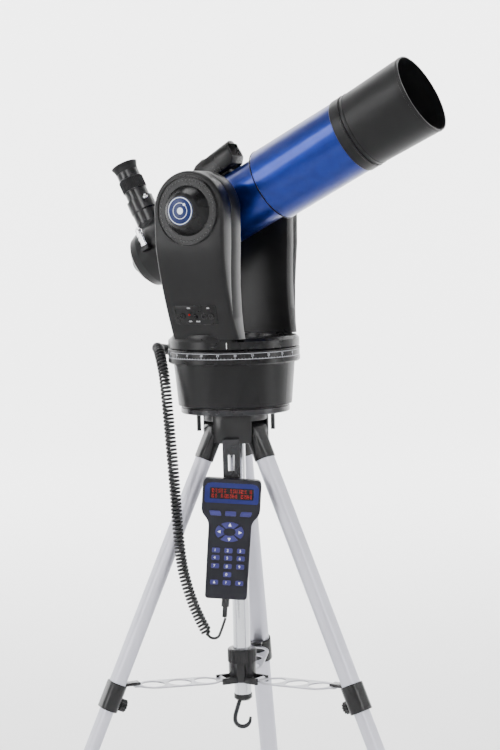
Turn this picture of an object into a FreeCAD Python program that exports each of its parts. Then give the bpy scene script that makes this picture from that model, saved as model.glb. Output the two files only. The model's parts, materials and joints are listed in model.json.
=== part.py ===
import FreeCAD, Part

import math
import os
import re

import Sketcher

# An 80 mm refracting telescope on a motor-driven fork mount and a folding aluminium tripod, with
# a corded handset on the tripod head. Z is up and zero is the floor. The origin is the point
# under the azimuth axis. At rest the tube points towards +X and the altitude axis lies along Y.

doc = FreeCAD.newDocument("Telescope")
sheet = doc.addObject("Spreadsheet::Sheet", "Dims")
NODES = []

DIMENSIONS = """
base_height 690        the drive base's underside above the floor
axis_height 280.3      the altitude axis above the drive base's underside
tube_tilt 26.4         the tube above the horizon at rest
stand_turn 29.3        the tripod and handset, turned about Z from the fork
running_gap 0.05       radial clearance of a turning or sliding fit
play 0.3               space between faces that pass each other
plate_radius 76.4      the tripod's round top plate
plate_thick 7.5
plate_edge 1
drum_foot 74           the drive base, a drum that widens upward
drum_low_radius 79.8
drum_top_radius 85
drum_low 11
drum_top 70
drum_wall 5
relief_width 60
relief_depth 77
relief_lean 8
spindle_radius 12
ring_radius 92.5       the fixed azimuth circle round the drum's top
ring_top 90
ring_bore 78
band_low 78
band_high 87
band_depth 0.6
table_radius 92        the turntable that carries the fork
table_top 106
table_dish 50
table_floor 96.5
arm_top_radius 53.6    the round heads of the fork's arms
arm_foot_rear 46
arm_foot_front 56
arm_foot_out 88
arm_shoulder 215
near_inner 66
near_split 93
near_outer 117
far_inner 68
far_outer 103
arm_wall 2.5
shaft_radius 14
dial_radius 47
dial_thick 1.2
boss_low_radius 34
boss_top_radius 20.5
boss_height 17.5
gear_radius 38
gear_thick 6
panel_long 66
panel_high 27
panel_thick 2
panel_height 140
switch_long 9
switch_wide 5
switch_proud 3
rear_radius 45         the optical tube: a slim rear part, then the full-width front
rear_start -96
front_radius 51.8
front_start 76
front_end 212
tube_wall 2
cell_radius 53
cell_end 242
cell_bore 41
lens_radius 40.9
lens_start 220
crown_thick 8
flint_thick 6
shield_end 326
shield_radius 55
shield_neck 50.8
shield_rim 12
shield_wall 2
shield_overlap 14
back_end -160          the black rear cell and what it carries
back_radius 46
back_mid_radius 43
back_end_radius 30
back_wall 3
port_station -124.3
port_bore 15.95
port_radius 18.6
port_foot 34
port_top 84
barrel_radius 15.88
barrel_foot 56
eyepiece_radius 17
eyepiece_top 128
eyecup_top 139
eyecup_radius 19.3
screw_radius 3.4
screw_long 8
screw_angle 50
mirror_radius 19
mirror_thick 3
mirror_shaft 3
focus_radius 13
focus_long 10.5
focus_height 2
lever_radius 5.2
lever_long 29
lever_station -118.2
lever_foot 7.5
lever_out 51.5
finder_wide 34
lock_knob_radius 26
lock_knob_long 17
head_radius 46         the tripod's black head casting
head_deep 42
slot_wide 35.4
slot_inner 18
slot_top 12
pin_radius 3
hinge_radius 32
hinge_drop 25
leg_tilt 24.4
knuckle_radius 12
knuckle_wide 34
knuckle_eye 31
knuckle_deep 23
knuckle_long 44
leg_wide 31
leg_deep 19.5
leg_wall 1.5
leg_start 20
leg_end 388
lower_wide 27.4
lower_deep 15.9
lower_start 290
lower_end 712
clamp_start 375
clamp_end 414
clamp_wide 36
clamp_deep 24.5
foot_radius 15
foot_high 26
foot_reach 21
peg_radius 3
peg_long 27
peg_spread 52
column_radius 12
column_end 404
collar_radius 19.5
collar_top 338
collar_end 385
brace_drop 381
brace_pivot 30
brace_long 132
brace_wide 43
brace_thick 2
brace_rise 3
brace_hole 16.5
brace_step 39.25
brace_pin 2
barrel_wide 20
lug_reach 21
cap_radius 13
cap_end 413
hook_wire 3.1
hook_bend 10.8
handset_long 166.3     the handset, from its maker's published size
handset_head 80.8
handset_grip 58
handset_thick 21.9
handset_tilt 4.8
handset_x -13.6
handset_front 75
handset_z -170
screen_middle 63.5
screen_high 16
holder_wide 24
holder_thick 4
holder_long 125
key_gap 0.4
key_proud 1.6
key_deep 4
coil_radius 7.75       the handset's curly cord and its plugs
lead_radius 2.25
plug_radius 5.5
socket_angle 128
socket_height 80
socket_reach 96
plug_reach 114
"""


def fill_sheet():
    row = 1
    for line in DIMENSIONS.strip().splitlines():
        words = line.split(None, 2)
        sheet.set("A%d" % row, words[0])
        sheet.set("B%d" % row, words[1])
        sheet.setAlias("B%d" % row, words[0])
        if len(words) == 3:
            sheet.set("C%d" % row, words[2])
        row += 1
    doc.recompute()


fill_sheet()


def num(text):
    return float(sheet.evalExpression(str(text)))


def bound(text):
    """The same expression as another object writes it, with the sheet's name before each alias."""
    return re.sub(r"([a-z]\w*)(?!\w*\()", r"Dims.\1", str(text))


X = FreeCAD.Vector(1, 0, 0)
Y = FreeCAD.Vector(0, 1, 0)
Z = FreeCAD.Vector(0, 0, 1)
STRAIGHT = FreeCAD.Rotation()
TO_FRONT = FreeCAD.Rotation(Y, 90)
TO_BACK = FreeCAD.Rotation(Y, -90)
TO_NEAR = FreeCAD.Rotation(X, 90)
TO_FAR = FreeCAD.Rotation(X, -90)


def place(x, y, z, turn=STRAIGHT):
    return FreeCAD.Placement(FreeCAD.Vector(num(x), num(y), num(z)), turn)


BASE = place(0, 0, "base_height")
STAND = place(0, 0, "base_height", FreeCAD.Rotation(Z, num("stand_turn")))
TUBE = place(0, 0, "base_height + axis_height", FreeCAD.Rotation(Y, -num("tube_tilt")))
LEGS = {"back": 82, "left": 202, "right": 322}


def around_stand(angle):
    return STAND.multiply(place(0, 0, 0, FreeCAD.Rotation(Z, angle)))


def down_leg(angle):
    """The frame of one leg: its hinge at the origin, the leg along -Z, outward along X."""
    lean = FreeCAD.Rotation(Y, -num("leg_tilt"))
    return around_stand(angle).multiply(place("hinge_radius", 0, "-hinge_drop", lean))


# ---- How the pieces are made ----

def keep(piece, name):
    piece.Label = name
    NODES.append(piece)
    return piece


def sketch_outline(body, role, outline):
    """A closed outline on one of the body's own planes, each point held by two dimensions."""
    plane = [item for item in body.Origin.OriginFeatures if item.Role == role][0]
    sketch = body.newObject("Sketcher::SketchObject", body.Name + "Sketch")
    sketch.AttachmentSupport = [(plane, "")]
    sketch.MapMode = "FlatFace"
    spots = [FreeCAD.Vector(num(p), num(q), 0) for p, q in outline]
    count = len(spots)
    for i in range(count):
        sketch.addGeometry(Part.LineSegment(spots[i], spots[(i + 1) % count]), False)
    for i in range(count):
        sketch.addConstraint(Sketcher.Constraint("Coincident", i, 2, (i + 1) % count, 1))
    for i, (p, q) in enumerate(outline):
        for kind, axis, text, value in (("DistanceX", -2, p, spots[i].x), ("DistanceY", -1, q, spots[i].y)):
            if abs(value) < 1e-9:
                sketch.addConstraint(Sketcher.Constraint("PointOnObject", i, 1, axis))
            else:
                index = sketch.addConstraint(Sketcher.Constraint(kind, -1, 1, i, 1, value))
                sketch.setExpression("Constraints[%d]" % index, bound(text))
    return sketch


def turned(name, outline, at):
    """A lathe-turned piece: an outline of (radius, height) pairs revolved about its own Z."""
    body = doc.addObject("PartDesign::Body", name)
    turn = body.newObject("PartDesign::Revolution", name + "Turn")
    sketch = sketch_outline(body, "XZ_Plane", outline)
    turn.Profile = sketch
    turn.ReferenceAxis = (sketch, ["V_Axis"])
    turn.Angle = 360
    body.Tip = turn
    body.Placement = at
    return body


def padded(name, outline, thickness, at, role="XY_Plane"):
    """A plate: an outline padded by its thickness. On the XZ plane it grows both ways from Y = 0."""
    body = doc.addObject("PartDesign::Body", name)
    pad = body.newObject("PartDesign::Pad", name + "Pad")
    pad.Profile = sketch_outline(body, role, outline)
    pad.setExpression("Length", bound(thickness))
    pad.Midplane = role == "XZ_Plane"
    body.Tip = pad
    body.Placement = at
    return body


def rod(name, radius, length, at):
    piece = doc.addObject("Part::Cylinder", name)
    piece.setExpression("Radius", bound(radius))
    piece.setExpression("Height", bound(length))
    piece.Placement = at
    return piece


def block(name, long, wide, high, at):
    """A box centred on its own Z axis, standing on its own XY plane."""
    piece = doc.addObject("Part::Box", name)
    piece.setExpression("Length", bound(long))
    piece.setExpression("Width", bound(wide))
    piece.setExpression("Height", bound(high))
    piece.Placement = at.multiply(place("-(%s)/2" % long, "-(%s)/2" % wide, 0))
    return piece


def join(name, *pieces):
    whole = doc.addObject("Part::MultiFuse", name)
    whole.Shapes = list(pieces)
    return whole


def group(name, *pieces):
    """Separate solids of one kind that share a node."""
    whole = doc.addObject("Part::Compound", name)
    whole.Links = list(pieces)
    return whole


def common(name, *pieces):
    whole = doc.addObject("Part::MultiCommon", name)
    whole.Shapes = list(pieces)
    return whole


def cut(name, base, *tools):
    result = doc.addObject("Part::Cut", name)
    result.Base = base
    result.Tool = tools[0] if len(tools) == 1 else join(name + "Tools", *tools)
    return result


def stadium(name, wide, deep, long, at):
    """A flat-oval bar, wide along Y and deep along X, running down its own -Z from the origin."""
    low = at.multiply(place(0, 0, "-(%s)" % long))
    bar = block(name + "Web", deep, "(%s) - (%s)" % (wide, deep), long, low)
    offset = "((%s) - (%s))/2" % (wide, deep)
    sides = []
    for mark, sign in (("Near", "-"), ("Far", "")):
        spot = low.multiply(place(0, sign + offset, 0))
        sides.append(rod(name + mark, "(%s)/2" % deep, long, spot))
    return join(name, bar, *sides)


# ---- Drive base, azimuth circle and turntable ----

def make_base():
    keep(turned("base_plate", [
        ("spindle_radius", "0"), ("plate_radius - plate_edge", "0"), ("plate_radius", "plate_edge"),
        ("plate_radius", "plate_thick"), ("spindle_radius", "plate_thick")], BASE), "base_plate")
    bore = "spindle_radius + running_gap"
    drum = turned("DrumShell", [
        (bore, "plate_thick"), ("drum_foot", "plate_thick"), ("drum_foot", "plate_thick + 2"),
        ("drum_low_radius", "drum_low"), ("drum_top_radius", "drum_top"),
        ("drum_top_radius - drum_wall", "drum_top"), ("drum_low_radius - drum_wall", "drum_low + drum_wall"),
        (bore, "drum_low + drum_wall")], BASE)
    facets = []
    for angle in (-77, 43, 163):
        facing = around_stand(angle).multiply(place("relief_depth", 0, "drum_low - 6", FreeCAD.Rotation(
            Y, num("relief_lean"))))
        spot = facing.multiply(place("relief_width/2", 0, 0))
        facets.append(block("Relief%d" % len(facets), "relief_width", "relief_width", "drum_top", spot))
    keep(cut("DriveBase", drum, *facets), "drive_base")
    circle = turned("CircleRing", [
        ("ring_bore", "drum_top"), ("ring_radius - 2", "drum_top"), ("ring_radius", "drum_top + 2"),
        ("ring_radius", "band_low - band_depth"), ("ring_radius - band_depth", "band_low"),
        ("ring_radius - band_depth", "band_high"), ("ring_radius", "band_high + band_depth"),
        ("ring_radius", "ring_top - 1"), ("ring_radius - 1", "ring_top"), ("ring_bore", "ring_top")], BASE)
    socket = around_stand(num("socket_angle")).multiply(
        place("ring_bore + 4", 0, "socket_height", TO_FRONT))
    boss = rod("SocketBoss", "plug_radius + 1.5", "socket_reach - ring_bore - 4", socket)
    keep(join("AzimuthCircle", circle, boss), "azimuth_circle")
    motor_at = BASE.multiply(place(0, 45, "drum_low + drum_wall"))
    motor = rod("MotorCan", 15, 38, motor_at)
    pinion = rod("MotorPinion", 5, 46, motor_at)
    keep(join("AzimuthMotor", motor, pinion), "azimuth_motor")
    gap = "ring_top + play"
    keep(turned("turntable", [
        ("0", "plate_thick + 2"), ("spindle_radius", "plate_thick + 2"), ("spindle_radius", gap),
        ("table_radius - 1.5", gap), ("table_radius", "ring_top + 2"), ("table_radius", "table_top - 4"),
        ("table_radius - 4", "table_top"), ("table_dish + 4", "table_top"), ("table_dish", "table_floor"),
        ("0", "table_floor")], BASE), "turntable")


# ---- Fork arms ----

def arm_side(name, inset):
    """An arm's side view, padded along Y: a round head on the altitude axis over a tapering leg."""
    axis = "axis_height"
    foot = "table_top + %s" % inset
    leg = padded(name + "Leg", [
        ("-arm_foot_rear + %s" % inset, foot), ("arm_foot_front - %s" % inset, foot),
        ("arm_top_radius - 4 - %s" % inset, "arm_shoulder - 10"),
        ("arm_top_radius - %s" % inset, axis), ("-arm_top_radius + %s" % inset, axis),
        ("-arm_top_radius + 2 + %s" % inset, "arm_shoulder - 20")], "300", BASE, "XZ_Plane")
    head_at = BASE.multiply(place(0, 150, axis, TO_NEAR))
    head = rod(name + "Head", "arm_top_radius - %s" % inset, 300, head_at)
    return join(name, leg, head)


def arm_section(name, inner, outer, sign, inset):
    """An arm's end view, padded along X: upright inside, leaning in below the shoulder outside."""
    inside = "%s(%s)" % (sign, inner)
    body = doc.addObject("PartDesign::Body", name)
    pad = body.newObject("PartDesign::Pad", name + "Pad")
    pad.Profile = sketch_outline(body, "YZ_Plane", [
        (inside, "table_top + %s" % inset),
        ("%s(arm_foot_out - %s)" % (sign, inset), "table_top + %s" % inset),
        ("%s(%s - %s)" % (sign, outer, inset), "arm_shoulder"),
        ("%s(%s - %s)" % (sign, outer, inset), "400"),
        (inside, "400")])
    pad.Length = 300
    pad.Midplane = True
    body.Tip = pad
    body.Placement = BASE
    return body


def make_arm(name, inner, outer, split, sign):
    """One arm shell, hollow inside, kept between the planes y = inner and y = split."""
    solid = common(name + "Solid", arm_side(name + "Out", "0"),
                   arm_section(name + "Ends", inner, outer, sign, "0"))
    hollow = common(name + "Hollow", arm_side(name + "In", "arm_wall"),
                    arm_section(name + "InEnds", "%s + arm_wall" % inner, outer, sign, "arm_wall"))
    shell = cut(name + "Shell", solid, hollow)
    near, far = sorted((num(sign + inner), num(sign + split)))
    slab_at = BASE.multiply(place(0, (near + far) / 2, 0))
    slab = block(name + "Slab", 300, "%s - %s" % (split, inner), 500, slab_at)
    return common(name + "Part", shell, slab)


def shaft_hole(name, sign, start, long, radius="shaft_radius + running_gap"):
    turn = TO_NEAR if sign == "-" else TO_FAR
    return rod(name, radius, long, BASE.multiply(place(0, sign + "(%s)" % start, "axis_height", turn)))


def make_fork():
    inner_part = make_arm("NearIn", "near_inner", "near_outer", "near_split", "-")
    inner_hole = shaft_hole("NearInHole", "-", "near_inner - 1", "near_split - near_inner + 2")
    keep(cut("NearArmShell", inner_part, inner_hole), "near_arm_shell")
    solid = common("CoverSolid", arm_side("CoverOut", "0"),
                   arm_section("CoverEnds", "near_split", "near_outer", "-", "0"))
    hollow = common("CoverHollow", arm_side("CoverIn", "arm_wall"),
                    arm_section("CoverInEnds", "near_split - 1", "near_outer", "-", "arm_wall"))
    cover_hole = shaft_hole("CoverHole", "-", "near_split - 1", "near_outer - near_split + 2")
    keep(cut("NearArmCover", solid, hollow, cover_hole), "near_arm_cover")
    far_part = make_arm("Far", "far_inner", "far_outer", "far_outer", "")
    far_hole = shaft_hole("FarHole", "", "far_inner - 1", "far_outer - far_inner + 2")
    keep(cut("FarArm", far_part, far_hole), "far_arm")
    battery_at = BASE.multiply(place(2, "(far_inner + arm_foot_out)/2", "table_top + arm_wall"))
    keep(block("battery_holder", 62, 13, 92, battery_at), "battery_holder")
    motor_at = BASE.multiply(place(0, "-near_inner - arm_wall - 13", "axis_height - gear_radius - 62"))
    keep(join("AltitudeMotor", rod("AltMotorCan", 12, 46, motor_at), rod("AltMotorWorm", 4, 62, motor_at)),
         "altitude_motor")
    rise = num("arm_shoulder - table_top")
    slope = math.degrees(math.atan(num("near_outer - arm_foot_out") / rise))
    face = -num("arm_foot_out") - (num("panel_height - table_top")) / rise * num("near_outer - arm_foot_out")
    panel_frame = BASE.multiply(place(-3, face, "panel_height", FreeCAD.Rotation(X, slope)))
    panel_at = panel_frame.multiply(place(0, "-panel_thick/2", "-panel_high/2"))
    plate = block("PanelPlate", "panel_long", "panel_thick", "panel_high", panel_at)
    slot_at = panel_frame.multiply(place("-0.4", 0, "-switch_long/2 - 0.5"))
    slot = block("PanelSlot", "switch_wide + 1", 12, "switch_long + 1", slot_at)
    keep(cut("ControlPanel", plate, slot), "control_panel")
    switch_at = panel_frame.multiply(place(
        "-0.4", "-(panel_thick + switch_proud)/2 - play", "-switch_long/2"))
    keep(block("power_switch", "switch_wide", "panel_thick + switch_proud", "5", switch_at), "power_switch")


# ---- Optical tube, along X of the tube's own frame ----

def along_tube(station, y=0, height=0, turn=TO_FRONT):
    return TUBE.multiply(place(station, y, height, turn))


def make_tube():
    """Heights in these outlines are stations along the tube, from the altitude axis forward."""
    barrel = turned("RearBarrel", [
        ("rear_radius - tube_wall", "0"), ("rear_radius", "0"),
        ("rear_radius", "front_start - rear_start + 3"),
        ("rear_radius - tube_wall", "front_start - rear_start + 3")], along_tube("rear_start"))
    keep(barrel, "rear_tube")
    keep(turned("front_tube", [
        ("rear_radius", "0"), ("front_radius - 2", "0"), ("front_radius", "2"),
        ("front_radius", "front_end - front_start"), ("front_radius - tube_wall", "front_end - front_start"),
        ("front_radius - tube_wall", "4"), ("rear_radius", "4")], along_tube("front_start")), "front_tube")
    seat = "lens_start - front_end - 3"
    keep(turned("lens_cell", [
        ("cell_bore - 4", "0"), ("cell_radius - 1", "0"), ("cell_radius", "1"), ("cell_radius", "16"),
        ("shield_neck - shield_wall", "16"), ("shield_neck - shield_wall", "cell_end - front_end"),
        ("cell_bore", "cell_end - front_end"), ("cell_bore", seat), ("cell_bore - 4", seat)],
        along_tube("front_end")), "lens_cell")
    crown = turned("CrownLens", [
        ("0", "0"), ("lens_radius", "2"), ("lens_radius", "crown_thick - 2"), ("0", "crown_thick")],
        along_tube("lens_start + flint_thick + 1"))
    flint = turned("FlintLens", [
        ("0", "1"), ("lens_radius", "0"), ("lens_radius", "flint_thick"), ("0", "flint_thick - 1")],
        along_tube("lens_start"))
    keep(group("ObjectiveLens", crown, flint), "objective_lens")
    reach = "shield_end - cell_end + shield_overlap - 1"
    keep(turned("dew_shield", [
        ("shield_neck - shield_wall + running_gap", "0"), ("shield_neck + 1.5", "0"),
        ("shield_neck + 1.5", "2"),
        ("shield_radius", "%s - shield_rim" % reach), ("shield_radius", reach),
        ("shield_radius - shield_wall", reach), ("shield_radius - shield_wall", "%s - shield_rim" % reach),
        ("shield_neck - shield_wall + running_gap", "shield_overlap + 2")],
        along_tube("cell_end - shield_overlap + 1")), "dew_shield")


def make_back():
    """The rear cell, with the flip mirror inside and the eyepiece port on top."""
    back = turned("BackShell", [
        ("0", "back_end"), ("back_end_radius", "back_end"), ("back_mid_radius - 4", "back_end + 7"),
        ("back_mid_radius", "back_end + 20"), ("back_radius", "rear_start - 22"),
        ("back_radius", "rear_start + 4"),
        ("rear_radius + running_gap", "rear_start + 4"), ("rear_radius + running_gap", "rear_start"),
        ("back_radius - 2*back_wall", "rear_start"), ("back_mid_radius - 2*back_wall", "back_end + 30"),
        ("back_end_radius", "back_end + 4"), ("0", "back_end + 4")], along_tube(0))
    shelf = block("PortShelf", 16, 32, 14, along_tube("back_end + 10.5", 0, 19, STRAIGHT))
    lever_boss = block("LeverBoss", 13, 17, 6, along_tube(
        "lever_station", "-lever_out + 3", "lever_foot - play - 6", STRAIGHT))
    pad = rod("PortPad", "port_radius + 3.4", 12, along_tube("port_station", 0, "port_foot", STRAIGHT))
    well = rod("BackWell", "back_end_radius", 60, along_tube("back_end + 5", 0, 0))
    flat = block("BackFlat", 28, 100, 30, along_tube("back_end - 3.5", 0, 33, STRAIGHT))
    hole = rod("PortHole", "port_bore", 60, along_tube("port_station", 0, 10, STRAIGHT))
    shaft = rod("ShaftHole", "mirror_shaft + running_gap", 60, along_tube("port_station", 0, 0, TO_FAR))
    trimmed = cut("BackTrimmed", back, flat)
    blocks = join("BackBlocks", trimmed, shelf, pad, lever_boss)
    keep(cut("RearCell", blocks, well, hole, shaft), "rear_cell")
    mirror_turn = FreeCAD.Rotation(Y, 45)
    mirror_at = along_tube("port_station", 0, 0, mirror_turn)
    disc = rod("MirrorDisc", "mirror_radius", "mirror_thick", mirror_at.multiply(
        place(0, 0, "-mirror_thick/2")))
    axle = rod("MirrorAxle", "mirror_shaft", "back_radius + 8", along_tube("port_station", 0, 0, TO_FAR))
    knob = rod("MirrorKnob", 9, 12, along_tube("port_station", "back_radius + 1", 0, TO_FAR))
    keep(join("FlipMirror", disc, axle, knob), "flip_mirror")
    keep(turned("eyepiece_holder", [
        ("port_bore", "0"), ("port_radius", "0"), ("port_radius", "port_top - port_foot - 32"),
        ("port_radius + 1", "port_top - port_foot - 30"), ("port_radius + 1", "port_top - port_foot - 12"),
        ("port_bore", "port_top - port_foot - 12")],
        along_tube("port_station", 0, "port_foot + 12", STRAIGHT)), "eyepiece_holder")
    keep(turned("eyepiece", [
        ("0", "0"), ("barrel_radius", "0"), ("barrel_radius", "port_top - barrel_foot + play"),
        ("eyepiece_radius - 0.6", "port_top - barrel_foot + play"),
        ("eyepiece_radius - 0.6", "97 - barrel_foot"),
        ("eyepiece_radius", "98 - barrel_foot"), ("eyepiece_radius", "117 - barrel_foot"),
        ("eyepiece_radius - 0.8", "118 - barrel_foot"),
        ("eyepiece_radius - 0.8", "eyepiece_top - barrel_foot"),
        ("12", "eyepiece_top - barrel_foot"), ("12", "eyepiece_top - barrel_foot - 4"),
        ("0", "eyepiece_top - barrel_foot - 4")],
        along_tube("port_station", 0, "barrel_foot", STRAIGHT)), "eyepiece")
    keep(turned("eyecup", [
        ("12.5", "0"), ("eyepiece_radius - 0.8", "0"), ("eyepiece_radius", "5"),
        ("eyecup_radius", "eyecup_top - eyepiece_top"), ("eyecup_radius - 2", "eyecup_top - eyepiece_top"),
        ("14", "3")], along_tube("port_station", 0, "eyepiece_top", STRAIGHT)), "eyecup")
    screw_turn = FreeCAD.Rotation(Z, num("screw_angle"))
    screw_at = along_tube("port_station", 0, "port_top - 5.5", screw_turn).multiply(
        place(0, "-(port_radius + 1) - play", 0, TO_NEAR))
    keep(rod("holder_screw", "screw_radius", "screw_long", screw_at), "holder_screw")
    keep(turned("focus_knob", [
        ("0", "0"), ("5", "0"), ("5", "2"), ("focus_radius", "2"), ("focus_radius", "focus_long"),
        ("focus_radius - 1.5", "focus_long + 1.5"), ("0", "focus_long + 1.5")],
        along_tube("back_end - play", 0, "focus_height", TO_BACK)), "focus_knob")
    keep(rod("barlow_lever", "lever_radius", "lever_long", along_tube(
        "lever_station", "-lever_out", "lever_foot", STRAIGHT)), "barlow_lever")


def make_finder():
    """A sighting finder: a round-topped housing on a saddle, open at the front."""
    side = padded("FinderSide", [
        ("-26", "50"), ("-24", "70"), ("-14", "78"), ("-3", "82"), ("4", "80"), ("46", "86"), ("46", "60"),
        ("40", "52"), ("30", "50")], "finder_wide + 2", TUBE, "XZ_Plane")
    arch = doc.addObject("PartDesign::Body", "FinderArch")
    pad = arch.newObject("PartDesign::Pad", "FinderArchPad")
    half = "finder_wide/2"
    pad.Profile = sketch_outline(arch, "YZ_Plane", [
        ("-" + half, "48"), (half, "48"), (half, "69"), (half + " - 3.5", "78"), (half + " - 10", "84"),
        ("4", "86"), ("-4", "86"), ("-(%s) + 10" % half, "84"), ("-(%s) + 3.5" % half, "78"),
        ("-" + half, "69")])
    pad.Length = 120
    pad.Midplane = True
    arch.Tip = pad
    arch.Placement = TUBE
    saddle = block("FinderSaddle", 40, 16, 6, TUBE.multiply(place(8, 0, "rear_radius + running_gap")))
    window = block("FinderWindow", 24, 24, 16, TUBE.multiply(place(46, 0, 63)))
    hood = join("FinderBlocks", common("FinderShape", side, arch), saddle)
    keep(cut("FinderBody", hood, window), "finder_body")


def make_altitude():
    dial_at = BASE.multiply(place(0, "-near_outer - play", "axis_height", TO_NEAR))
    rise = "dial_thick + boss_height"
    keep(turned("altitude_dial", [
        ("0", "0"), ("dial_radius", "0"), ("dial_radius", "dial_thick/2"),
        ("dial_radius - 0.6", "dial_thick"),
        ("boss_low_radius", "dial_thick"), ("boss_top_radius + 4", rise + " - 3"), ("boss_top_radius", rise),
        ("0", rise)], dial_at), "altitude_dial")
    near = shaft_hole("NearShaft", "-", "rear_radius - 2", "near_outer - rear_radius + 2", "shaft_radius")
    wheel = shaft_hole("AltitudeGear", "-", "near_inner + arm_wall + 14", "gear_thick", "gear_radius")
    far = shaft_hole("FarShaft", "", "rear_radius - 2", "far_outer - rear_radius + 2", "shaft_radius")
    bands = [shaft_hole("NearBoss", "-", "rear_radius - 6", "near_inner - rear_radius + 6 - play", "26"),
             shaft_hole("FarBoss", "", "rear_radius - 6", "far_inner - rear_radius + 6 - play", "26")]
    core = rod("ShaftCore", "rear_radius + running_gap", 120, along_tube(-60))
    trim = cut("AltitudeShafts", join("ShaftBlank", near, wheel, far, *bands), core)
    keep(trim, "altitude_shafts")
    knob_at = BASE.multiply(place(0, "far_outer + play", "axis_height", TO_FAR))
    keep(turned("altitude_knob", [
        ("0", "0"), ("lock_knob_radius", "0"), ("lock_knob_radius", "lock_knob_long - 2"),
        ("lock_knob_radius - 2", "lock_knob_long"), ("0", "lock_knob_long")], knob_at), "altitude_knob")


# ---- Tripod ----

def make_head():
    head = rod("HeadDisc", "head_radius", "head_deep", STAND.multiply(place(0, 0, "-head_deep")))
    slots = []
    pins = []
    for name, angle in LEGS.items():
        long = "head_radius - slot_inner + 10"
        spot = around_stand(angle).multiply(place("slot_inner + (%s)/2" % long, 0, "-head_deep - 1"))
        slots.append(block("Slot" + name, long, "slot_wide", "head_deep + 1 - slot_top", spot))
        pin_at = around_stand(angle).multiply(place("hinge_radius", 22, "-hinge_drop", TO_NEAR))
        pins.append(rod("Pin" + name, "pin_radius", 44, pin_at))
    keep(join("TripodHead", cut("HeadCasting", head, *slots), *pins), "tripod_head")
    pegs = []
    for sign in ("-", ""):
        spot = STAND.multiply(place(sign + "peg_spread", 0, "-peg_long"))
        pegs.append(rod("Peg%d" % len(pegs), "peg_radius", "peg_long", spot))
    keep(group("MountingPegs", *pegs), "mounting_pegs")
    keep(rod("column_tube", "column_radius", "column_end - head_deep", STAND.multiply(
        place(0, 0, "-column_end"))), "column_tube")
    keep(turned("column_cap", [
        ("0", "0"), ("cap_radius - 3", "0"), ("cap_radius", "3"), ("cap_radius", "cap_end - column_end"),
        ("0", "cap_end - column_end")], STAND.multiply(place(0, 0, "-cap_end"))), "column_cap")


def sweep(name, path, radius, start, direction):
    """A round wire along a path, made with a pipe because its line bends in space."""
    circle = Part.Wire([Part.makeCircle(radius, start, direction)])
    shell = Part.Wire(path).makePipeShell([circle], True, True)
    piece = doc.addObject("Part::Feature", name)
    piece.Shape = shell
    return piece


def make_hook():
    """A cast hook under the column, open towards the right of the stand."""
    bend = num("hook_bend")
    drop = -num("cap_end")
    middle = FreeCAD.Vector(-1.5, 0, drop - 29)
    top = FreeCAD.Vector(-4.2, 0, drop + 1)
    waist = FreeCAD.Vector(-9.5, 0, drop - 16)
    heel = middle + FreeCAD.Vector(-bend, 0, 0)
    between = FreeCAD.Vector(-11.7, 0, drop - 22.5)
    low = middle + FreeCAD.Vector(0, 0, -bend)
    tip = middle + FreeCAD.Vector(bend, 0, 0)
    path = [Part.LineSegment(top, waist).toShape(), Part.Arc(waist, between, heel).toShape(),
            Part.Arc(heel, low, tip).toShape()]
    hook = sweep("HookWire", path, num("hook_wire"), top, waist - top)
    hook.Placement = STAND
    above = block("HookTop", 20, 20, 10, STAND.multiply(place(0, 0, "-cap_end")))
    keep(cut("ColumnHook", hook, above), "column_hook")


def make_leg(name, angle):
    at = down_leg(angle)
    eye = rod("Eye" + name, "knuckle_radius", "knuckle_eye", at.multiply(
        place(0, "knuckle_eye/2", 0, TO_NEAR)))
    sleeve = stadium("Sleeve" + name, "knuckle_wide", "knuckle_deep", "knuckle_long", at)
    socket = stadium("Socket" + name, "leg_wide + 0.1", "leg_deep + 0.1", "60", at.multiply(
        place(0, 0, "-leg_start")))
    bore = rod("Bore" + name, "pin_radius + running_gap", 60, at.multiply(place(0, 30, 0, TO_NEAR)))
    knuckle = cut("Knuckle" + name, join("KnuckleBlank" + name, eye, sleeve), socket, bore)
    body = stadium("ClampBody" + name, "clamp_wide", "clamp_deep", "clamp_end - clamp_start", at.multiply(
        place(0, 0, "-clamp_start")))
    upper = stadium("ClampUpper" + name, "leg_wide + 0.1", "leg_deep + 0.1", "60", at.multiply(
        place(0, 0, "-leg_end + 60")))
    through = stadium("ClampThrough" + name, "lower_wide + 0.2", "lower_deep + 0.2", "60", at.multiply(
        place(0, 0, "-clamp_start + 10")))
    lug_at = around_stand(angle).multiply(
        place("brace_pivot + brace_long + 7.5", 0, "-brace_drop + brace_long*sin(brace_rise*1deg) + 2"))
    lug = block("ClampLug" + name, "lug_reach + 8", 16, 4, lug_at)
    clamp = cut("Clamp" + name, join("ClampBlank" + name, body, lug), upper, through)
    keep(group("LegFittings" + name, knuckle, clamp), "leg_fittings_" + name)
    outer = stadium("TubeOut" + name, "leg_wide", "leg_deep", "leg_end - leg_start", at.multiply(
        place(0, 0, "-leg_start")))
    inner = stadium("TubeIn" + name, "leg_wide - 2*leg_wall", "leg_deep - 2*leg_wall", "400", at.multiply(
        place(0, 0, "-leg_start + 5")))
    keep(cut("LegTube" + name, outer, inner), "leg_tube_" + name)
    knob_at = at.multiply(place("-clamp_deep/2 - play", 0, "-clamp_end + 12", TO_BACK))
    keep(turned("ClampKnob" + name, [
        ("0", "0"), ("4", "0"), ("4", "2.5"), ("9", "2.5"), ("9", "9.5"), ("7.5", "11"),
        ("0", "11")], knob_at),
        "clamp_knob_" + name)
    keep(make_lower(name, angle, at), "lower_leg_" + name)


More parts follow.
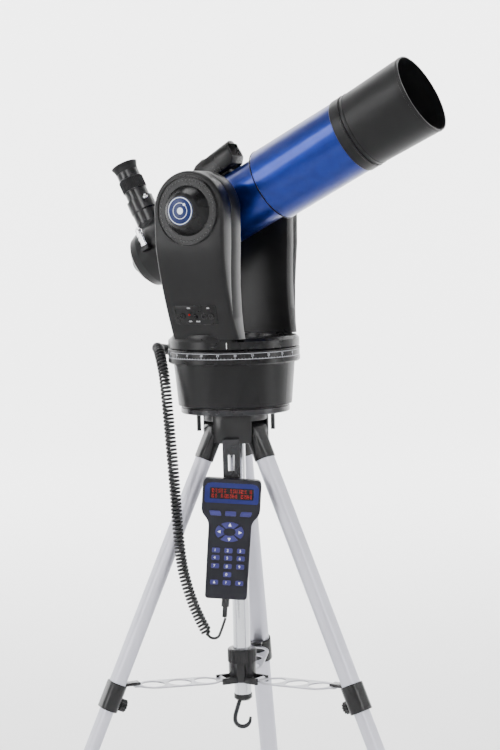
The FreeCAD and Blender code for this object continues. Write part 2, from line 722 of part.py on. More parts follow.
def make_lower(name, angle, at):
    bar = stadium("LowerOut" + name, "lower_wide", "lower_deep", "lower_end - lower_start", at.multiply(
        place(0, 0, "-lower_start")))
    core = stadium("LowerIn" + name, "lower_wide - 2*leg_wall", "lower_deep - 2*leg_wall", "500", at.multiply(
        place(0, 0, "-lower_start + 5")))
    tube = cut("LowerTube" + name, bar, core)
    reach = "hinge_radius + (base_height - hinge_drop)*tan(leg_tilt*1deg)"
    sole = rod("Sole" + name, "foot_radius", "foot_high", around_stand(angle).multiply(
        place(reach, 0, "-base_height")))
    cuff = stadium("Cuff" + name, "lower_wide + 5", "lower_deep + 5", "foot_reach", at.multiply(
        place(0, 0, "-lower_end + 8")))
    well = stadium("FootWell" + name, "lower_wide + 0.1", "lower_deep + 0.1", "30", at.multiply(
        place(0, 0, "-lower_end + 30")))
    foot = cut("Foot" + name, join("FootBlank" + name, sole, cuff), well)
    return group("LowerLeg" + name, tube, foot)


def make_collar():
    body = rod("CollarBody", "collar_radius", "collar_end - collar_top", STAND.multiply(
        place(0, 0, "-collar_end")))
    parts = [body]
    for name, angle in LEGS.items():
        at = around_stand(angle)
        for side in ("-", ""):
            ear_at = at.multiply(place("collar_radius + 5", side + "(barrel_wide/2 + 2.3)", "-brace_drop - 4.5"))
            parts.append(block("Ear%s%d" % (name, len(parts)), 22, 4, 9, ear_at))
        pin_at = at.multiply(place("brace_pivot", "barrel_wide/2 + 4", "-brace_drop", TO_NEAR))
        parts.append(rod("BracePin" + name, "brace_pin", "barrel_wide + 8", pin_at))
    bore = rod("CollarBore", "column_radius + running_gap", 80, STAND.multiply(place(0, 0, "-collar_end - 10")))
    keep(cut("SpreaderCollar", join("CollarBlank", *parts), bore), "spreader_collar")


def make_brace(name, angle):
    """A stamped strip with three eyepiece holes, narrowed at both ends, hinged to the collar."""
    at = around_stand(angle).multiply(place("brace_pivot", 0, "-brace_drop", FreeCAD.Rotation(
        Y, -num("brace_rise"))))
    half = "brace_wide/2"
    side = [("7", "9.4"), ("13", "15"), ("22", half + " - 1"), ("30", half), ("brace_long - 30", half),
            ("brace_long - 21", half + " - 1.5"), ("brace_long - 12", "14.5"), ("brace_long - 6", "8"),
            ("brace_long + 2", "7")]
    outline = [(x, "-(%s)" % y) for x, y in side] + side[::-1]
    strip = padded("Strip" + name, outline, "brace_thick", at.multiply(place(0, 0, "-brace_thick/2")))
    tongue = block("Tongue" + name, "8", "barrel_wide - 2*play", "brace_thick", at.multiply(
        place(4, 0, "-brace_thick/2")))
    barrel = rod("Barrel" + name, "3.6", "barrel_wide - 2*play", at.multiply(
        place(0, "barrel_wide/2 - play", 0, TO_NEAR)))
    holes = [rod("PinHole" + name, "brace_pin + running_gap", 40, at.multiply(place(0, 20, 0, TO_NEAR)))]
    for step in range(3):
        spot = at.multiply(place("26 + %d*brace_step" % step, 0, -10))
        holes.append(rod("BraceHole%s%d" % (name, step), "brace_hole", 20, spot))
    keep(cut("Brace" + name, join("BraceBlank" + name, strip, tongue, barrel), *holes), "brace_" + name)


# ---- Handset, its holder and its cord ----

HANDSET = STAND.multiply(place("handset_x", "-handset_front + handset_thick/2", "handset_z", FreeCAD.Rotation(
    Y, num("handset_tilt"))))
NEAR_FACE = "-handset_thick/2"


def handset_outline(inset):
    top = "handset_long/2 - %s" % inset
    return [
        ("-handset_grip/2 + %s + 5" % inset, "-(%s)" % top),
        ("handset_grip/2 - %s - 5" % inset, "-(%s)" % top),
        ("handset_grip/2 - %s" % inset, "-(%s) + 5" % top), ("handset_grip/2 + 0.6 - %s" % inset, "24"),
        ("handset_head/2 - %s" % inset, "35"), ("handset_head/2 - %s" % inset, "%s - 7" % top),
        ("handset_head/2 - 7 - %s" % inset, top), ("-handset_head/2 + 7 + %s" % inset, top),
        ("-handset_head/2 + %s" % inset, "%s - 7" % top), ("-handset_head/2 + %s" % inset, "35"),
        ("-handset_grip/2 - 0.6 + %s" % inset, "24"), ("-handset_grip/2 + %s" % inset, "-(%s) + 5" % top)]


def key_well(name, x, z, wide, high):
    spot = HANDSET.multiply(place(x, NEAR_FACE, "%s - (%s)/2" % (z, high)))
    return block(name, "%s + 2*key_gap" % wide, 6, "%s + 2*key_gap" % high, spot.multiply(
        place(0, 0, "-key_gap")))


def key_cap(name, x, z, wide, high):
    y = "%s + key_deep/2 - key_proud" % NEAR_FACE
    return block(name, wide, "key_deep", high, HANDSET.multiply(place(x, y, "%s - (%s)/2" % (z, high))))


KEY_ROWS = {
    "soft_keys": [(x, 36, 15, 6.5) for x in (-21, 0, 21)],
    "arrow_keys": [(0, 20, 14, 8), (0, 1.2, 14, 8), (-14.5, 10.6, 10, 10), (14.5, 10.6, 10, 10)],
    "number_keys": [(x, z, 11, 6.5) for z in (-15.2, -25.6, -37.1, -59.8) for x in (-17.3, 0, 17.3)]
    + [(0, -48.4, 11, 6.5)]}


def make_handset():
    half = "(handset_thick/2)"
    shells = {}
    for side, sign in (("Front", "-"), ("Back", "")):
        spot = HANDSET.multiply(place(0, sign + half + "/2", 0))
        outer = padded("Handset" + side, handset_outline("0"), half, spot, "XZ_Plane")
        hollow_at = HANDSET.multiply(place(0, sign + "(%s - 2.5)/2" % half, 0))
        inner = padded("Handset%sIn" % side, handset_outline("2.5"), "%s - 2.5 + 0.002" % half, hollow_at,
                       "XZ_Plane")
        shells[side] = (outer, inner)
    wells = [key_well("ScreenWell", 0, "screen_middle", 62, "screen_high")]
    for name, keys in KEY_ROWS.items():
        caps = []
        for number, key in enumerate(keys):
            wells.append(key_well("%sWell%d" % (name, number), *key))
            caps.append(key_cap("%s%d" % (name, number), *key))
        keep(group(name, *caps), name)
    keep(cut("FrontShell", shells["Front"][0], shells["Front"][1], *wells), "handset_front")
    keep(cut("BackShell2", *shells["Back"]), "handset_back")
    screen_at = HANDSET.multiply(place(0, "%s + 2" % NEAR_FACE, "screen_middle - screen_high/2"))
    keep(block("handset_screen", 62, 2, "screen_high", screen_at), "handset_screen")
    plate_at = STAND.multiply(place("handset_x + 6", "-handset_front + handset_thick + holder_thick/2 + 0.05",
                                    "-head_deep + 8 - holder_long"))
    plate = block("HolderPlate", "holder_wide", "holder_thick", "holder_long", plate_at)
    tab_at = STAND.multiply(place("handset_x + 6", "-head_radius - 1", "-head_deep + 2"))
    tab = block("HolderTab", "holder_wide", 8, 6, tab_at)
    slot = block("HolderSlot", 9, 20, 22, plate_at.multiply(place(0, 0, "holder_long - 44")))
    head = rod("HolderSeat", "head_radius", "head_deep", STAND.multiply(place(0, 0, "-head_deep")))
    keep(cut("HandsetHolder", join("HolderBlank", plate, tab), slot, head), "handset_holder")


COIL_ROUTE = [
    (-70.185, 89.833, 80), (-79.85, 102.205, 80), (-93, 107, 81), (-105, 100, 83), (-110, 84, 85),
    (-110, 56, 88), (-107, 24, 89), (-103, 0, 78), (-97.5, -17, 50), (-94.5, -30, 10), (-91, -40, -38),
    (-87.5, -53, -86), (-85, -63, -132), (-82.5, -68.5, -176), (-78, -71, -216), (-66, -73, -258),
    (-56, -74, -282), (-46, -74.5, -302)]
LEAD_ROUTE = [
    (-46, -74.5, -302), (-44.92, -74.4, -304.03), (-41.44, -74.1, -306.56), (-37.21, -73.7, -307.3),
    (-33.07, -73.1, -306.12), (-29.88, -72.2, -303.24), (-21.6, -65, -281)]


def rounded_path(points):
    """Straight runs joined by tangent arcs, each arc as large as its two runs allow."""
    spots = [FreeCAD.Vector(*point) for point in points]
    edges = []
    start = spots[0]
    for before, corner, after in zip(spots, spots[1:], spots[2:]):
        back = (before - corner).normalize()
        ahead = (after - corner).normalize()
        short = min((before - corner).Length, (after - corner).Length)
        reach = 0.45 * short
        turn = math.pi - back.getAngle(ahead)
        radius = reach / math.tan(turn / 2)
        print("turn %5.1f deg, radius %6.1f mm" % (math.degrees(turn), radius))
        enter = corner + back * reach
        leave = corner + ahead * reach
        bisector = (back + ahead).normalize()
        middle = corner + bisector * (radius / math.cos(turn / 2) - radius)
        edges.append(Part.LineSegment(start, enter).toShape())
        edges.append(Part.Arc(enter, middle, leave).toShape())
        start = leave
    edges.append(Part.LineSegment(start, spots[-1]).toShape())
    return edges


def make_cord(name, route, radius):
    edges = rounded_path(route)
    first = FreeCAD.Vector(*route[0])
    tube = sweep(name, edges, radius, first, FreeCAD.Vector(*route[1]) - first)
    length = sum(edge.Length for edge in edges)
    expected = math.pi * radius ** 2 * length
    print("%s: length %.1f mm, volume off by %.2f %%" % (name, length, 100 * (tube.Shape.Volume / expected - 1)))
    tube.Placement = STAND
    keep(tube, name)


def make_cords():
    make_cord("coil_cord", COIL_ROUTE, num("coil_radius"))
    make_cord("handset_lead", LEAD_ROUTE, num("lead_radius"))
    base_at = around_stand(num("socket_angle")).multiply(place("socket_reach", 0, "socket_height", TO_FRONT))
    base_plug = rod("BasePlug", "plug_radius", "plug_reach - socket_reach", base_at)
    foot_at = HANDSET.multiply(place(0, 0, "-handset_long/2"))
    body = rod("PlugBody", "plug_radius", 12, foot_at.multiply(place(0, 0, -12)))
    relief = rod("PlugRelief", "3.5", 15, foot_at.multiply(place(0, 0, -27)))
    keep(group("CordPlugs", base_plug, join("HandsetPlug", body, relief)), "cord_plugs")


# ---- Build, check and write ----

make_base()
make_fork()
make_tube()
make_back()
make_finder()
make_altitude()
make_head()
make_hook()
for leg_name, leg_angle in LEGS.items():
    make_leg(leg_name, leg_angle)
    make_brace(leg_name, leg_angle)
make_collar()
make_handset()
make_cords()
doc.recompute()

for item in doc.Objects:
    if "Invalid" in item.State or "Error" in item.State:
        raise RuntimeError("%s did not compute: %s" % (item.Name, item.State))
os.makedirs("parts", exist_ok=True)
for node in NODES:
    shape = node.Shape
    if shape.isNull() or not shape.isValid() or not shape.Solids:
        raise RuntimeError("%s has no valid solid" % node.Label)
for node in NODES:
    node.Shape.exportStep(os.path.join("parts", node.Label + ".step"))
print("%d nodes" % len(NODES))
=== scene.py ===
import json
import math

import bmesh
import bpy
from mathutils import Matrix, Vector


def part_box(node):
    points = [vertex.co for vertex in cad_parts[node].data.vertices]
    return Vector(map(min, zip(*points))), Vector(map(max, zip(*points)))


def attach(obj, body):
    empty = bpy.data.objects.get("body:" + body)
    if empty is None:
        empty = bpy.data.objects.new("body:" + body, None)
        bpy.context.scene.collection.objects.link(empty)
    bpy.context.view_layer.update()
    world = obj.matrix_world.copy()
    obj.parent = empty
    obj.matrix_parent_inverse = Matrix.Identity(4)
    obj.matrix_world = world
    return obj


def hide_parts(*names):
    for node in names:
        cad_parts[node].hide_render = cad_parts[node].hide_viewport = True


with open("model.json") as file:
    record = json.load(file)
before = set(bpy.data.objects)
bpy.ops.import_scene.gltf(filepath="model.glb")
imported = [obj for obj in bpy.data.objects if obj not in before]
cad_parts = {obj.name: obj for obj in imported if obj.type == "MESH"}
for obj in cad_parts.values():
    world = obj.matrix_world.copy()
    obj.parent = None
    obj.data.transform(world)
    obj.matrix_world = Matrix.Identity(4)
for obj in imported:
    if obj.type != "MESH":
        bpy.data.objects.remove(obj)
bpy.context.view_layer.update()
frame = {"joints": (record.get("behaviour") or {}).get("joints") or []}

# ---- Camera, lights and floor ----
# A long lens about two and a half metres away, a little above the mount's base, and a pale
# bowl under large soft lights, as in a small studio.

MM = 0.001
BASE = round(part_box("tripod_head")[1].z, 5)
VIEW_TURN = math.radians(29.33)
VIEW_FROM = Vector((1228.0, -2186.3, 943.1)) * MM
VIEW_YAW = 0.0087
VIEW_PITCH = 0.0809
VIEW_ROLL = -0.0258

camera_data = bpy.data.cameras.new("camera")
camera_data.lens = 86.0
camera_data.sensor_width = 36.0
camera_data.clip_end = 50
camera = bpy.data.objects.new("camera", camera_data)
bpy.context.collection.objects.link(camera)
camera.matrix_world = (
    Matrix.Translation(VIEW_FROM)
    @ Matrix.Rotation(VIEW_TURN - VIEW_YAW, 4, "Z")
    @ Matrix.Rotation(math.pi / 2 - VIEW_PITCH, 4, "X")
    @ Matrix.Rotation(VIEW_ROLL, 4, "Z"))
bpy.context.scene.camera = camera


def new_piece(name, bm, smooth=40):
    """A mesh object from a bmesh, shaded smooth but for edges sharper than so many degrees."""
    bmesh.ops.recalc_face_normals(bm, faces=bm.faces[:])
    mesh = bpy.data.meshes.new(name)
    bm.to_mesh(mesh)
    bm.free()
    piece = bpy.data.objects.new(name, mesh)
    bpy.context.collection.objects.link(piece)
    for face in mesh.polygons:
        face.use_smooth = True
    mesh.set_sharp_from_angle(angle=math.radians(smooth))
    return piece


def paper(name, colour):
    material = bpy.data.materials.new(name)
    material.use_nodes = True
    shader = material.node_tree.nodes["Principled BSDF"]
    shader.inputs["Base Color"].default_value = (*colour, 1)
    shader.inputs["Roughness"].default_value = 0.9
    return material


def paper_sweep():
    """A round floor that curves up into a wall all the way round, so every view ends on paper."""
    bm = bmesh.new()
    profile = [(5.5 * step / 4, 0.0) for step in range(1, 5)]
    profile += [(5.5 + 3 * math.sin(math.radians(7.5 * step)), 3 - 3 * math.cos(math.radians(7.5 * step)))
                for step in range(1, 13)]
    profile.append((8.5, 9.0))
    sides = 72
    turns = [math.radians(360 / sides * i) for i in range(sides)]
    middle = bm.verts.new((0, 0, 0))
    rings = []
    for radius, height in profile:
        rings.append([bm.verts.new((radius * math.cos(turn), radius * math.sin(turn), height))
                      for turn in turns])
    for i in range(sides):
        j = (i + 1) % sides
        bm.faces.new((middle, rings[0][i], rings[0][j]))
        for low, high in zip(rings, rings[1:]):
            bm.faces.new((low[i], low[j], high[j], high[i]))
    sweep = new_piece("paper_sweep", bm, 80)
    for face in sweep.data.polygons:
        if face.normal.z < 0:
            face.flip()
    sweep.data.materials.append(paper("white paper", (0.93, 0.93, 0.93)))


def softbox(name, place, aim, size, power):
    light = bpy.data.lights.new(name, "AREA")
    light.shape = "RECTANGLE"
    light.size = size[0]
    light.size_y = size[1]
    light.energy = power
    lamp = bpy.data.objects.new(name, light)
    bpy.context.collection.objects.link(lamp)
    turn = Matrix.Rotation(VIEW_TURN, 3, "Z")
    lamp.location = turn @ Vector(place)
    lamp.rotation_euler = (turn @ (Vector(aim) - Vector(place))).to_track_quat("-Z", "Y").to_euler()


paper_sweep()
softbox("left_light", (-2.1, -1.0, 1.5), (0, 0, 0.8), (0.7, 2.2), 42)
softbox("right_light", (2.3, -0.7, 1.3), (0, 0, 0.8), (0.7, 2.2), 34)
softbox("top_light", (-0.3, 0.2, 3.1), (0, 0, 0.7), (1.6, 1.4), 46)
softbox("front_light", (-0.5, -3.4, 2.6), (0, 0, 0.6), (1.4, 0.9), 30)
softbox("backdrop_light_left", (-3.4, 2.6, 4.2), (-1.2, 8.5, 1.6), (2.4, 2.4), 900)
softbox("backdrop_light_right", (3.4, 2.6, 4.2), (1.2, 8.5, 1.6), (2.4, 2.4), 900)
softbox("front_wall_light", (0, -4.2, 5.6), (0, -8.5, 1.5), (3.0, 2.0), 420)
world = bpy.data.worlds.new("studio")
bpy.context.scene.world = world
world.use_nodes = True
world.node_tree.nodes["Background"].inputs["Color"].default_value = (1.0, 1.0, 1.0, 1)
world.node_tree.nodes["Background"].inputs["Strength"].default_value = 0.24

# ---- Curly cord ----
# A soft PVC jacket over telephone-style flex, wound hot on a mandrel so that it springs back.
# It leaves a socket behind the azimuth circle, hangs down the left and ends in the handset.

STAND_TURN = Matrix.Rotation(math.radians(29.3), 4, "Z")
COIL_ROUTE = [
    (-70.185, 89.833, 80), (-79.85, 102.205, 80), (-93, 107, 81), (-105, 100, 83), (-110, 84, 85),
    (-110, 56, 88), (-107, 24, 89), (-103, 0, 78), (-97.5, -17, 50), (-94.5, -30, 10), (-91, -40, -38),
    (-87.5, -53, -86), (-85, -63, -132), (-82.5, -68.5, -176), (-78, -71, -216), (-66, -73, -258),
    (-56, -74, -282), (-46, -74.5, -302)]
LEAD_ROUTE = [
    (-46, -74.5, -302), (-44.92, -74.4, -304.03), (-41.44, -74.1, -306.56), (-37.21, -73.7, -307.3),
    (-33.07, -73.1, -306.12), (-29.88, -72.2, -303.24), (-21.6, -65, -281)]
FLEX = 3.9 * MM
COIL_ACROSS = 16.3 * MM


def on_stand(point):
    return STAND_TURN @ (Vector(point) * MM + Vector((0, 0, BASE)))


def nurbs_line(points, name):
    """The route's smooth line: the points it passes near, read back from a NURBS spline."""
    curve = bpy.data.curves.new(name, "CURVE")
    curve.dimensions = "3D"
    spline = curve.splines.new("NURBS")
    spline.points.add(len(points) - 1)
    for spot, point in zip(spline.points, points):
        spot.co = (*on_stand(point), 1)
    spline.order_u = 3
    spline.use_endpoint_u = True
    spline.resolution_u = 12
    carrier = bpy.data.objects.new(name, curve)
    line = [v.co.copy() for v in bpy.data.meshes.new_from_object(carrier).vertices]
    bpy.data.objects.remove(carrier)
    return line


def helix(line, radius, first_pitch, last_pitch, per_turn=14):
    """Turns wound round a line, with a frame carried along it so that nothing twists."""
    points = []
    side = (line[1] - line[0]).orthogonal().normalized()
    total = sum((b - a).length for a, b in zip(line, line[1:]))
    travelled = 0.0
    angle = 0.0
    for a, b in zip(line, line[1:]):
        along = b - a
        ahead = along.normalized()
        side = (side - ahead * side.dot(ahead)).normalized()
        other = ahead.cross(side)
        spot = 0.0
        while spot < along.length:
            share = (travelled + spot) / total
            pitch = first_pitch + (last_pitch - first_pitch) * share
            swell = min(1.0, share / 0.012, (1 - share) / 0.012)
            out = side * math.cos(angle) + other * math.sin(angle)
            points.append(a + ahead * spot + out * radius * swell)
            spot += pitch / per_turn
            angle += 2 * math.pi / per_turn
        travelled += along.length
    return points


def vinyl():
    material = bpy.data.materials.new("cord vinyl")
    material.use_nodes = True
    nodes = material.node_tree.nodes
    links = material.node_tree.links
    shader = nodes["Principled BSDF"]
    shader.inputs["Base Color"].default_value = (0.005, 0.005, 0.006, 1)
    shader.inputs["IOR"].default_value = 1.45
    cloud = nodes.new("ShaderNodeTexNoise")
    cloud.inputs["Scale"].default_value = 160
    spread = nodes.new("ShaderNodeMapRange")
    spread.inputs["To Min"].default_value = 0.28
    spread.inputs["To Max"].default_value = 0.46
    links.new(cloud.outputs["Fac"], spread.inputs["Value"])
    links.new(spread.outputs["Result"], shader.inputs["Roughness"])
    return material


coil_line = nurbs_line(COIL_ROUTE, "coil route")
lead_line = nurbs_line(LEAD_ROUTE, "lead route")
wire_points = helix(coil_line, (COIL_ACROSS - FLEX) / 2, 6.2 * MM, 5.3 * MM) + lead_line[2:]
cord_curve = bpy.data.curves.new("curly_cord", "CURVE")
cord_curve.dimensions = "3D"
cord_curve.bevel_depth = FLEX / 2
cord_curve.bevel_resolution = 2
wire = cord_curve.splines.new("POLY")
wire.points.add(len(wire_points) - 1)
for spot, point in zip(wire.points, wire_points):
    spot.co = (*point, 1)
wire.use_smooth = True
cord_curve.use_fill_caps = True
cord = bpy.data.objects.new("curly_cord", cord_curve)
bpy.context.collection.objects.link(cord)
cord_curve.materials.append(vinyl())
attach(cord, "stand")
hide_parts("coil_cord", "handset_lead")

# ---- Moulded black housings ----
# The drum, circle, turntable and arms are injection moulded in glass-filled nylon with a fine
# spark-eroded grain, screwed together from inside.


def surface(name, colour, second, rough, grain, depth, metallic=0.0, spots=28.0, sheen=0.2):
    """A finish with clouded colour and gloss over a fine bump; sizes are per metre."""
    material = bpy.data.materials.new(name)
    material.use_nodes = True
    nodes = material.node_tree.nodes
    links = material.node_tree.links
    shader = nodes["Principled BSDF"]
    shader.inputs["Metallic"].default_value = metallic
    shader.inputs["Specular IOR Level"].default_value = sheen
    place = nodes.new("ShaderNodeTexCoord")
    cloud = nodes.new("ShaderNodeTexNoise")
    cloud.inputs["Scale"].default_value = spots
    cloud.inputs["Detail"].default_value = 5
    links.new(place.outputs["Object"], cloud.inputs["Vector"])
    ramp = nodes.new("ShaderNodeValToRGB")
    ramp.color_ramp.elements[0].position = 0.35
    ramp.color_ramp.elements[0].color = (*second, 1)
    ramp.color_ramp.elements[1].position = 0.65
    ramp.color_ramp.elements[1].color = (*colour, 1)
    links.new(cloud.outputs["Fac"], ramp.inputs["Fac"])
    links.new(ramp.outputs["Color"], shader.inputs["Base Color"])
    gloss = nodes.new("ShaderNodeMapRange")
    gloss.inputs["To Min"].default_value = rough[0]
    gloss.inputs["To Max"].default_value = rough[1]
    links.new(cloud.outputs["Fac"], gloss.inputs["Value"])
    links.new(gloss.outputs["Result"], shader.inputs["Roughness"])
    tooth = nodes.new("ShaderNodeTexNoise")
    tooth.inputs["Scale"].default_value = grain
    tooth.inputs["Detail"].default_value = 2
    links.new(place.outputs["Object"], tooth.inputs["Vector"])
    bump = nodes.new("ShaderNodeBump")
    bump.inputs["Strength"].default_value = depth
    bump.inputs["Distance"].default_value = 0.0002
    links.new(tooth.outputs["Fac"], bump.inputs["Height"])
    links.new(bump.outputs["Normal"], shader.inputs["Normal"])
    return material


def dress(material, *names):
    """Puts a finish on CAD pieces that keep their shape."""
    for name in names:
        piece = bpy.data.objects[name]
        piece.data.materials.clear()
        piece.data.materials.append(material)


nylon = surface("grained nylon", (0.003, 0.003, 0.0034), (0.0022, 0.0022, 0.0026), (0.3, 0.4), 1500, 0.3)
satin = surface("satin nylon", (0.0036, 0.0036, 0.004), (0.0026, 0.0026, 0.003), (0.22, 0.32), 1900, 0.18)
dress(nylon, "drive_base", "battery_holder", "rear_cell")
dress(satin, "azimuth_circle", "turntable", "altitude_dial", "altitude_knob")

# ---- Azimuth circle's printed band ----
# Silver ink on the fixed ring: a line above and below, hour numbers and finer marks between.

BAND_RADIUS = 91.98 * MM
INK_PROUD = 0.12 * MM


def ink(name, colour):
    material = surface(name, colour, tuple(0.86 * c for c in colour), (0.4, 0.55), 2500, 0.15, 0.0, 300)
    return material


silver_ink = ink("silver ink", (0.5, 0.51, 0.55))


def add_tab(bm, low, high, at=Matrix.Identity(4)):
    """A small box between two corners, placed by a matrix."""
    spots = [at @ Vector((x, y, z))
             for x in (low[0], high[0]) for y in (low[1], high[1]) for z in (low[2], high[2])]
    verts = [bm.verts.new(spot) for spot in spots]
    for face in ((0, 1, 3, 2), (4, 6, 7, 5), (0, 4, 5, 1), (2, 3, 7, 6), (0, 2, 6, 4), (1, 5, 7, 3)):
        bm.faces.new([verts[i] for i in face])


def ring_strip(bm, radius, low, high, proud, start=0.0, end=360.0, steps=144):
    """A thin band round the Z axis, from one angle to another."""
    full = end - start >= 360
    rows = []
    count = steps if full else steps + 1
    for i in range(count):
        angle = math.radians(start + (end - start) * i / steps)
        out = Vector((math.cos(angle), math.sin(angle), 0))
        rows.append([bm.verts.new(out * r + Vector((0, 0, z))) for r, z in (
            (radius, low), (radius + proud, low), (radius + proud, high), (radius, high))])
    pairs = zip(rows, rows[1:] + rows[:1]) if full else zip(rows, rows[1:])
    for a, b in pairs:
        for k in range(4):
            bm.faces.new((a[k], b[k], b[(k + 1) % 4], a[(k + 1) % 4]))


def circle_marks():
    bm = bmesh.new()
    low = BASE + 78.4 * MM
    high = BASE + 86.6 * MM
    for height in (low, high - 0.45 * MM):
        ring_strip(bm, BAND_RADIUS, height, height + 0.45 * MM, INK_PROUD)
    for mark in range(120):
        turn = Matrix.Rotation(math.radians(3 * mark), 4, "Z")
        tall = 3.4 if mark % 5 == 0 else 1.7
        outer = (BAND_RADIUS + INK_PROUD, 0.22 * MM, low + tall * MM)
        add_tab(bm, (BAND_RADIUS, -0.22 * MM, low), outer, turn)
    marks = new_piece("circle_marks", bm)
    marks.data.materials.append(silver_ink)
    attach(marks, "stand")


def figures(name, words, size, place_of, body, material, proud=0.12 * MM):
    """Printed figures as thin raised meshes; place_of gives each one's matrix."""
    bm = bmesh.new()
    for number, word in enumerate(words):
        text = bpy.data.curves.new(name, "FONT")
        text.body = word
        text.size = size
        text.align_x = "CENTER"
        text.align_y = "CENTER"
        text.extrude = proud
        carrier = bpy.data.objects.new(name, text)
        mesh = bpy.data.meshes.new_from_object(carrier)
        mesh.transform(place_of(number))
        bm.from_mesh(mesh)
        bpy.data.objects.remove(carrier)
        bpy.data.meshes.remove(mesh)
    bmesh.ops.remove_doubles(bm, verts=bm.verts[:], dist=1e-7)
    piece = new_piece(name, bm)
    piece.data.materials.append(material)
    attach(piece, body)
    return piece


def hour_place(number):
    upright = Matrix.Rotation(math.pi / 2, 4, "X")
    outward = Matrix.Rotation(math.pi / 2, 4, "Z")
    at = Matrix.Translation((BAND_RADIUS, 0, BASE + 83.6 * MM))
    return Matrix.Rotation(math.radians(15 * number), 4, "Z") @ at @ outward @ upright


circle_marks()
figures("circle_hours", [str(hour) for hour in range(24)], 4.2 * MM, hour_place, "stand", silver_ink)

# ---- Turntable details ----
# The turntable carries a white index line, and a raised skirt wraps each arm's foot.


def pointer():
    bm = bmesh.new()
    turn = Matrix.Rotation(math.radians(-67), 4, "Z")
    add_tab(bm, (91.9 * MM, -0.5 * MM, BASE + 93 * MM), (92.25 * MM, 0.5 * MM, BASE + 101.5 * MM), turn)
    mark = new_piece("index_mark", bm)
    mark.data.materials.append(ink("white ink", (0.8, 0.8, 0.8)))
    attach(mark, "fork")


def foot_skirt(name, start, end):
    """A band flush with the turntable's rim that rises and rolls in against the arm's foot."""
    bm = bmesh.new()
    rows = []
    steps = 40
    profile = [(91.2, 100), (91.9, 101), (91.9, 110), (91.4, 112.2), (89.8, 113.8), (87, 114.6), (80, 115),
               (80, 100)]
    for i in range(steps + 1):
        share = i / steps
        angle = math.radians(start + (end - start) * share)
        ease = min(1.0, math.sin(math.pi * share) * 3.2)
        out = Vector((math.cos(angle), math.sin(angle), 0))
        row = []
        for radius, height in profile:
            lift = 100 + (height - 100) * (0.25 + 0.75 * ease)
            row.append(bm.verts.new(out * radius * MM + Vector((0, 0, BASE + lift * MM))))
        rows.append(row)
    count = len(profile)
    for a, b in zip(rows, rows[1:]):
        for k in range(count):
            bm.faces.new((a[k], b[k], b[(k + 1) % count], a[(k + 1) % count]))
    bm.faces.new(rows[0])
    bm.faces.new(rows[-1])
    skirt = new_piece(name, bm)
    skirt.data.materials.append(satin)
    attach(skirt, "fork")


pointer()
foot_skirt("near_skirt", -134, -60)
foot_skirt("far_skirt", 52, 128)

# ---- Fork arms ----
# Two hollow moulded arms, screwed down to the turntable. The near one is a shell and a cover that
# meet in a fine groove; it carries the printed control panel, with its lamp, sockets and switch.

PIVOT = {joint["name"]: Vector(joint["pos_m"]) for joint in frame["joints"] if joint.get("pos_m")}
AXIS = PIVOT["altitude"].z
HEAD = 53.6


def arm_edge(z, side):
    """The arm's rear or front edge at one height above the mount's underside."""
    rear = [(106, -46), (140, -48.6), (175, -50.8), (205, -52.2), (235, -53.2), (280.3, -53.6)]
    front = [(106, 56), (122, 53.8), (140, 52.2), (175, 50.9), (205, 51.4), (235, 52.8), (280.3, 53.6)]
    line = front if side > 0 else rear
    for (low, a), (high, b) in zip(line, line[1:]):
        if z <= high:
            return a + (b - a) * (z - low) / (high - low)
    return line[-1][1]


def arm_face(z, outer, foot, shoulder=235):
    """How far out the arm's face stands at one height: upright above, leaning in below."""
    if z >= shoulder:
        return outer
    return outer - (outer - foot) * ((shoulder - z) / (shoulder - 106)) ** 1.35


def finished(name, bm, material, body, slot, *nodes):
    """Makes the piece, gives it its finish and its body, and hides the CAD pieces it stands for."""
    piece = new_piece(name, bm)
    piece.data.materials.append(material)
    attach(piece, body)
    if nodes:
        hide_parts(*nodes)
    return piece


def arm_housing(name, sign, inner, seam, outer, foot, ease, nodes):
    bm = bmesh.new()
    levels = [106 + (280.3 - 106) * i / 34 for i in range(35)]
    rim = [(arm_edge(z, -1), z, z) for z in levels[:-1]]
    rim += [(-HEAD * math.cos(math.radians(4 * k)), 280.3 + HEAD * math.sin(math.radians(4 * k)), 280.3)
            for k in range(46)]
    rim += [(arm_edge(z, 1), z, z) for z in reversed(levels[:-1])]
    wall = [(inner, 1.6), (inner + 0.5, 0.5), (inner + 1.6, 0), (seam - 0.9, 0), (seam - 0.35, 0.25),
            (seam - 0.3, 1.0), (seam + 0.3, 1.0), (seam + 0.35, 0.25), (seam + 0.9, 0)]
    columns = []
    for x, z, middle in rim:
        edge = Vector((x, 0, z))
        spine = Vector((0, 0, middle))
        inward = (spine - edge).normalized()
        room = arm_face(z, outer, foot) - ease
        spots = [(spine, inner)]
        spots += [(edge + inward * (inset if y < room else 0), min(y, room)) for y, inset in wall]
        for k in range(7):
            turn = math.radians(15 * k)
            spot = edge + inward * ease * (1 - math.cos(turn))
            spots.append((spot, arm_face(spot.z, outer, foot) - ease + ease * math.sin(turn)))
        rest = edge + inward * ease
        for share in (0.3, 0.65, 1.0):
            spot = rest.lerp(spine, share)
            spots.append((spot, arm_face(spot.z, outer, foot)))
        columns.append([bm.verts.new(Vector((spot.x, sign * y, spot.z)) * MM + Vector((0, 0, BASE)))
                        for spot, y in spots])
    for a, b in zip(columns, columns[1:]):
        for low, high, far, near in zip(a, a[1:], b[1:], b):
            bm.faces.new((low, high, far, near))
    bm.faces.new(columns[0] + columns[-1][::-1])
    bmesh.ops.remove_doubles(bm, verts=bm.verts[:], dist=1e-6)
    return finished(name, bm, nylon, "fork", "black_plastic", *nodes)


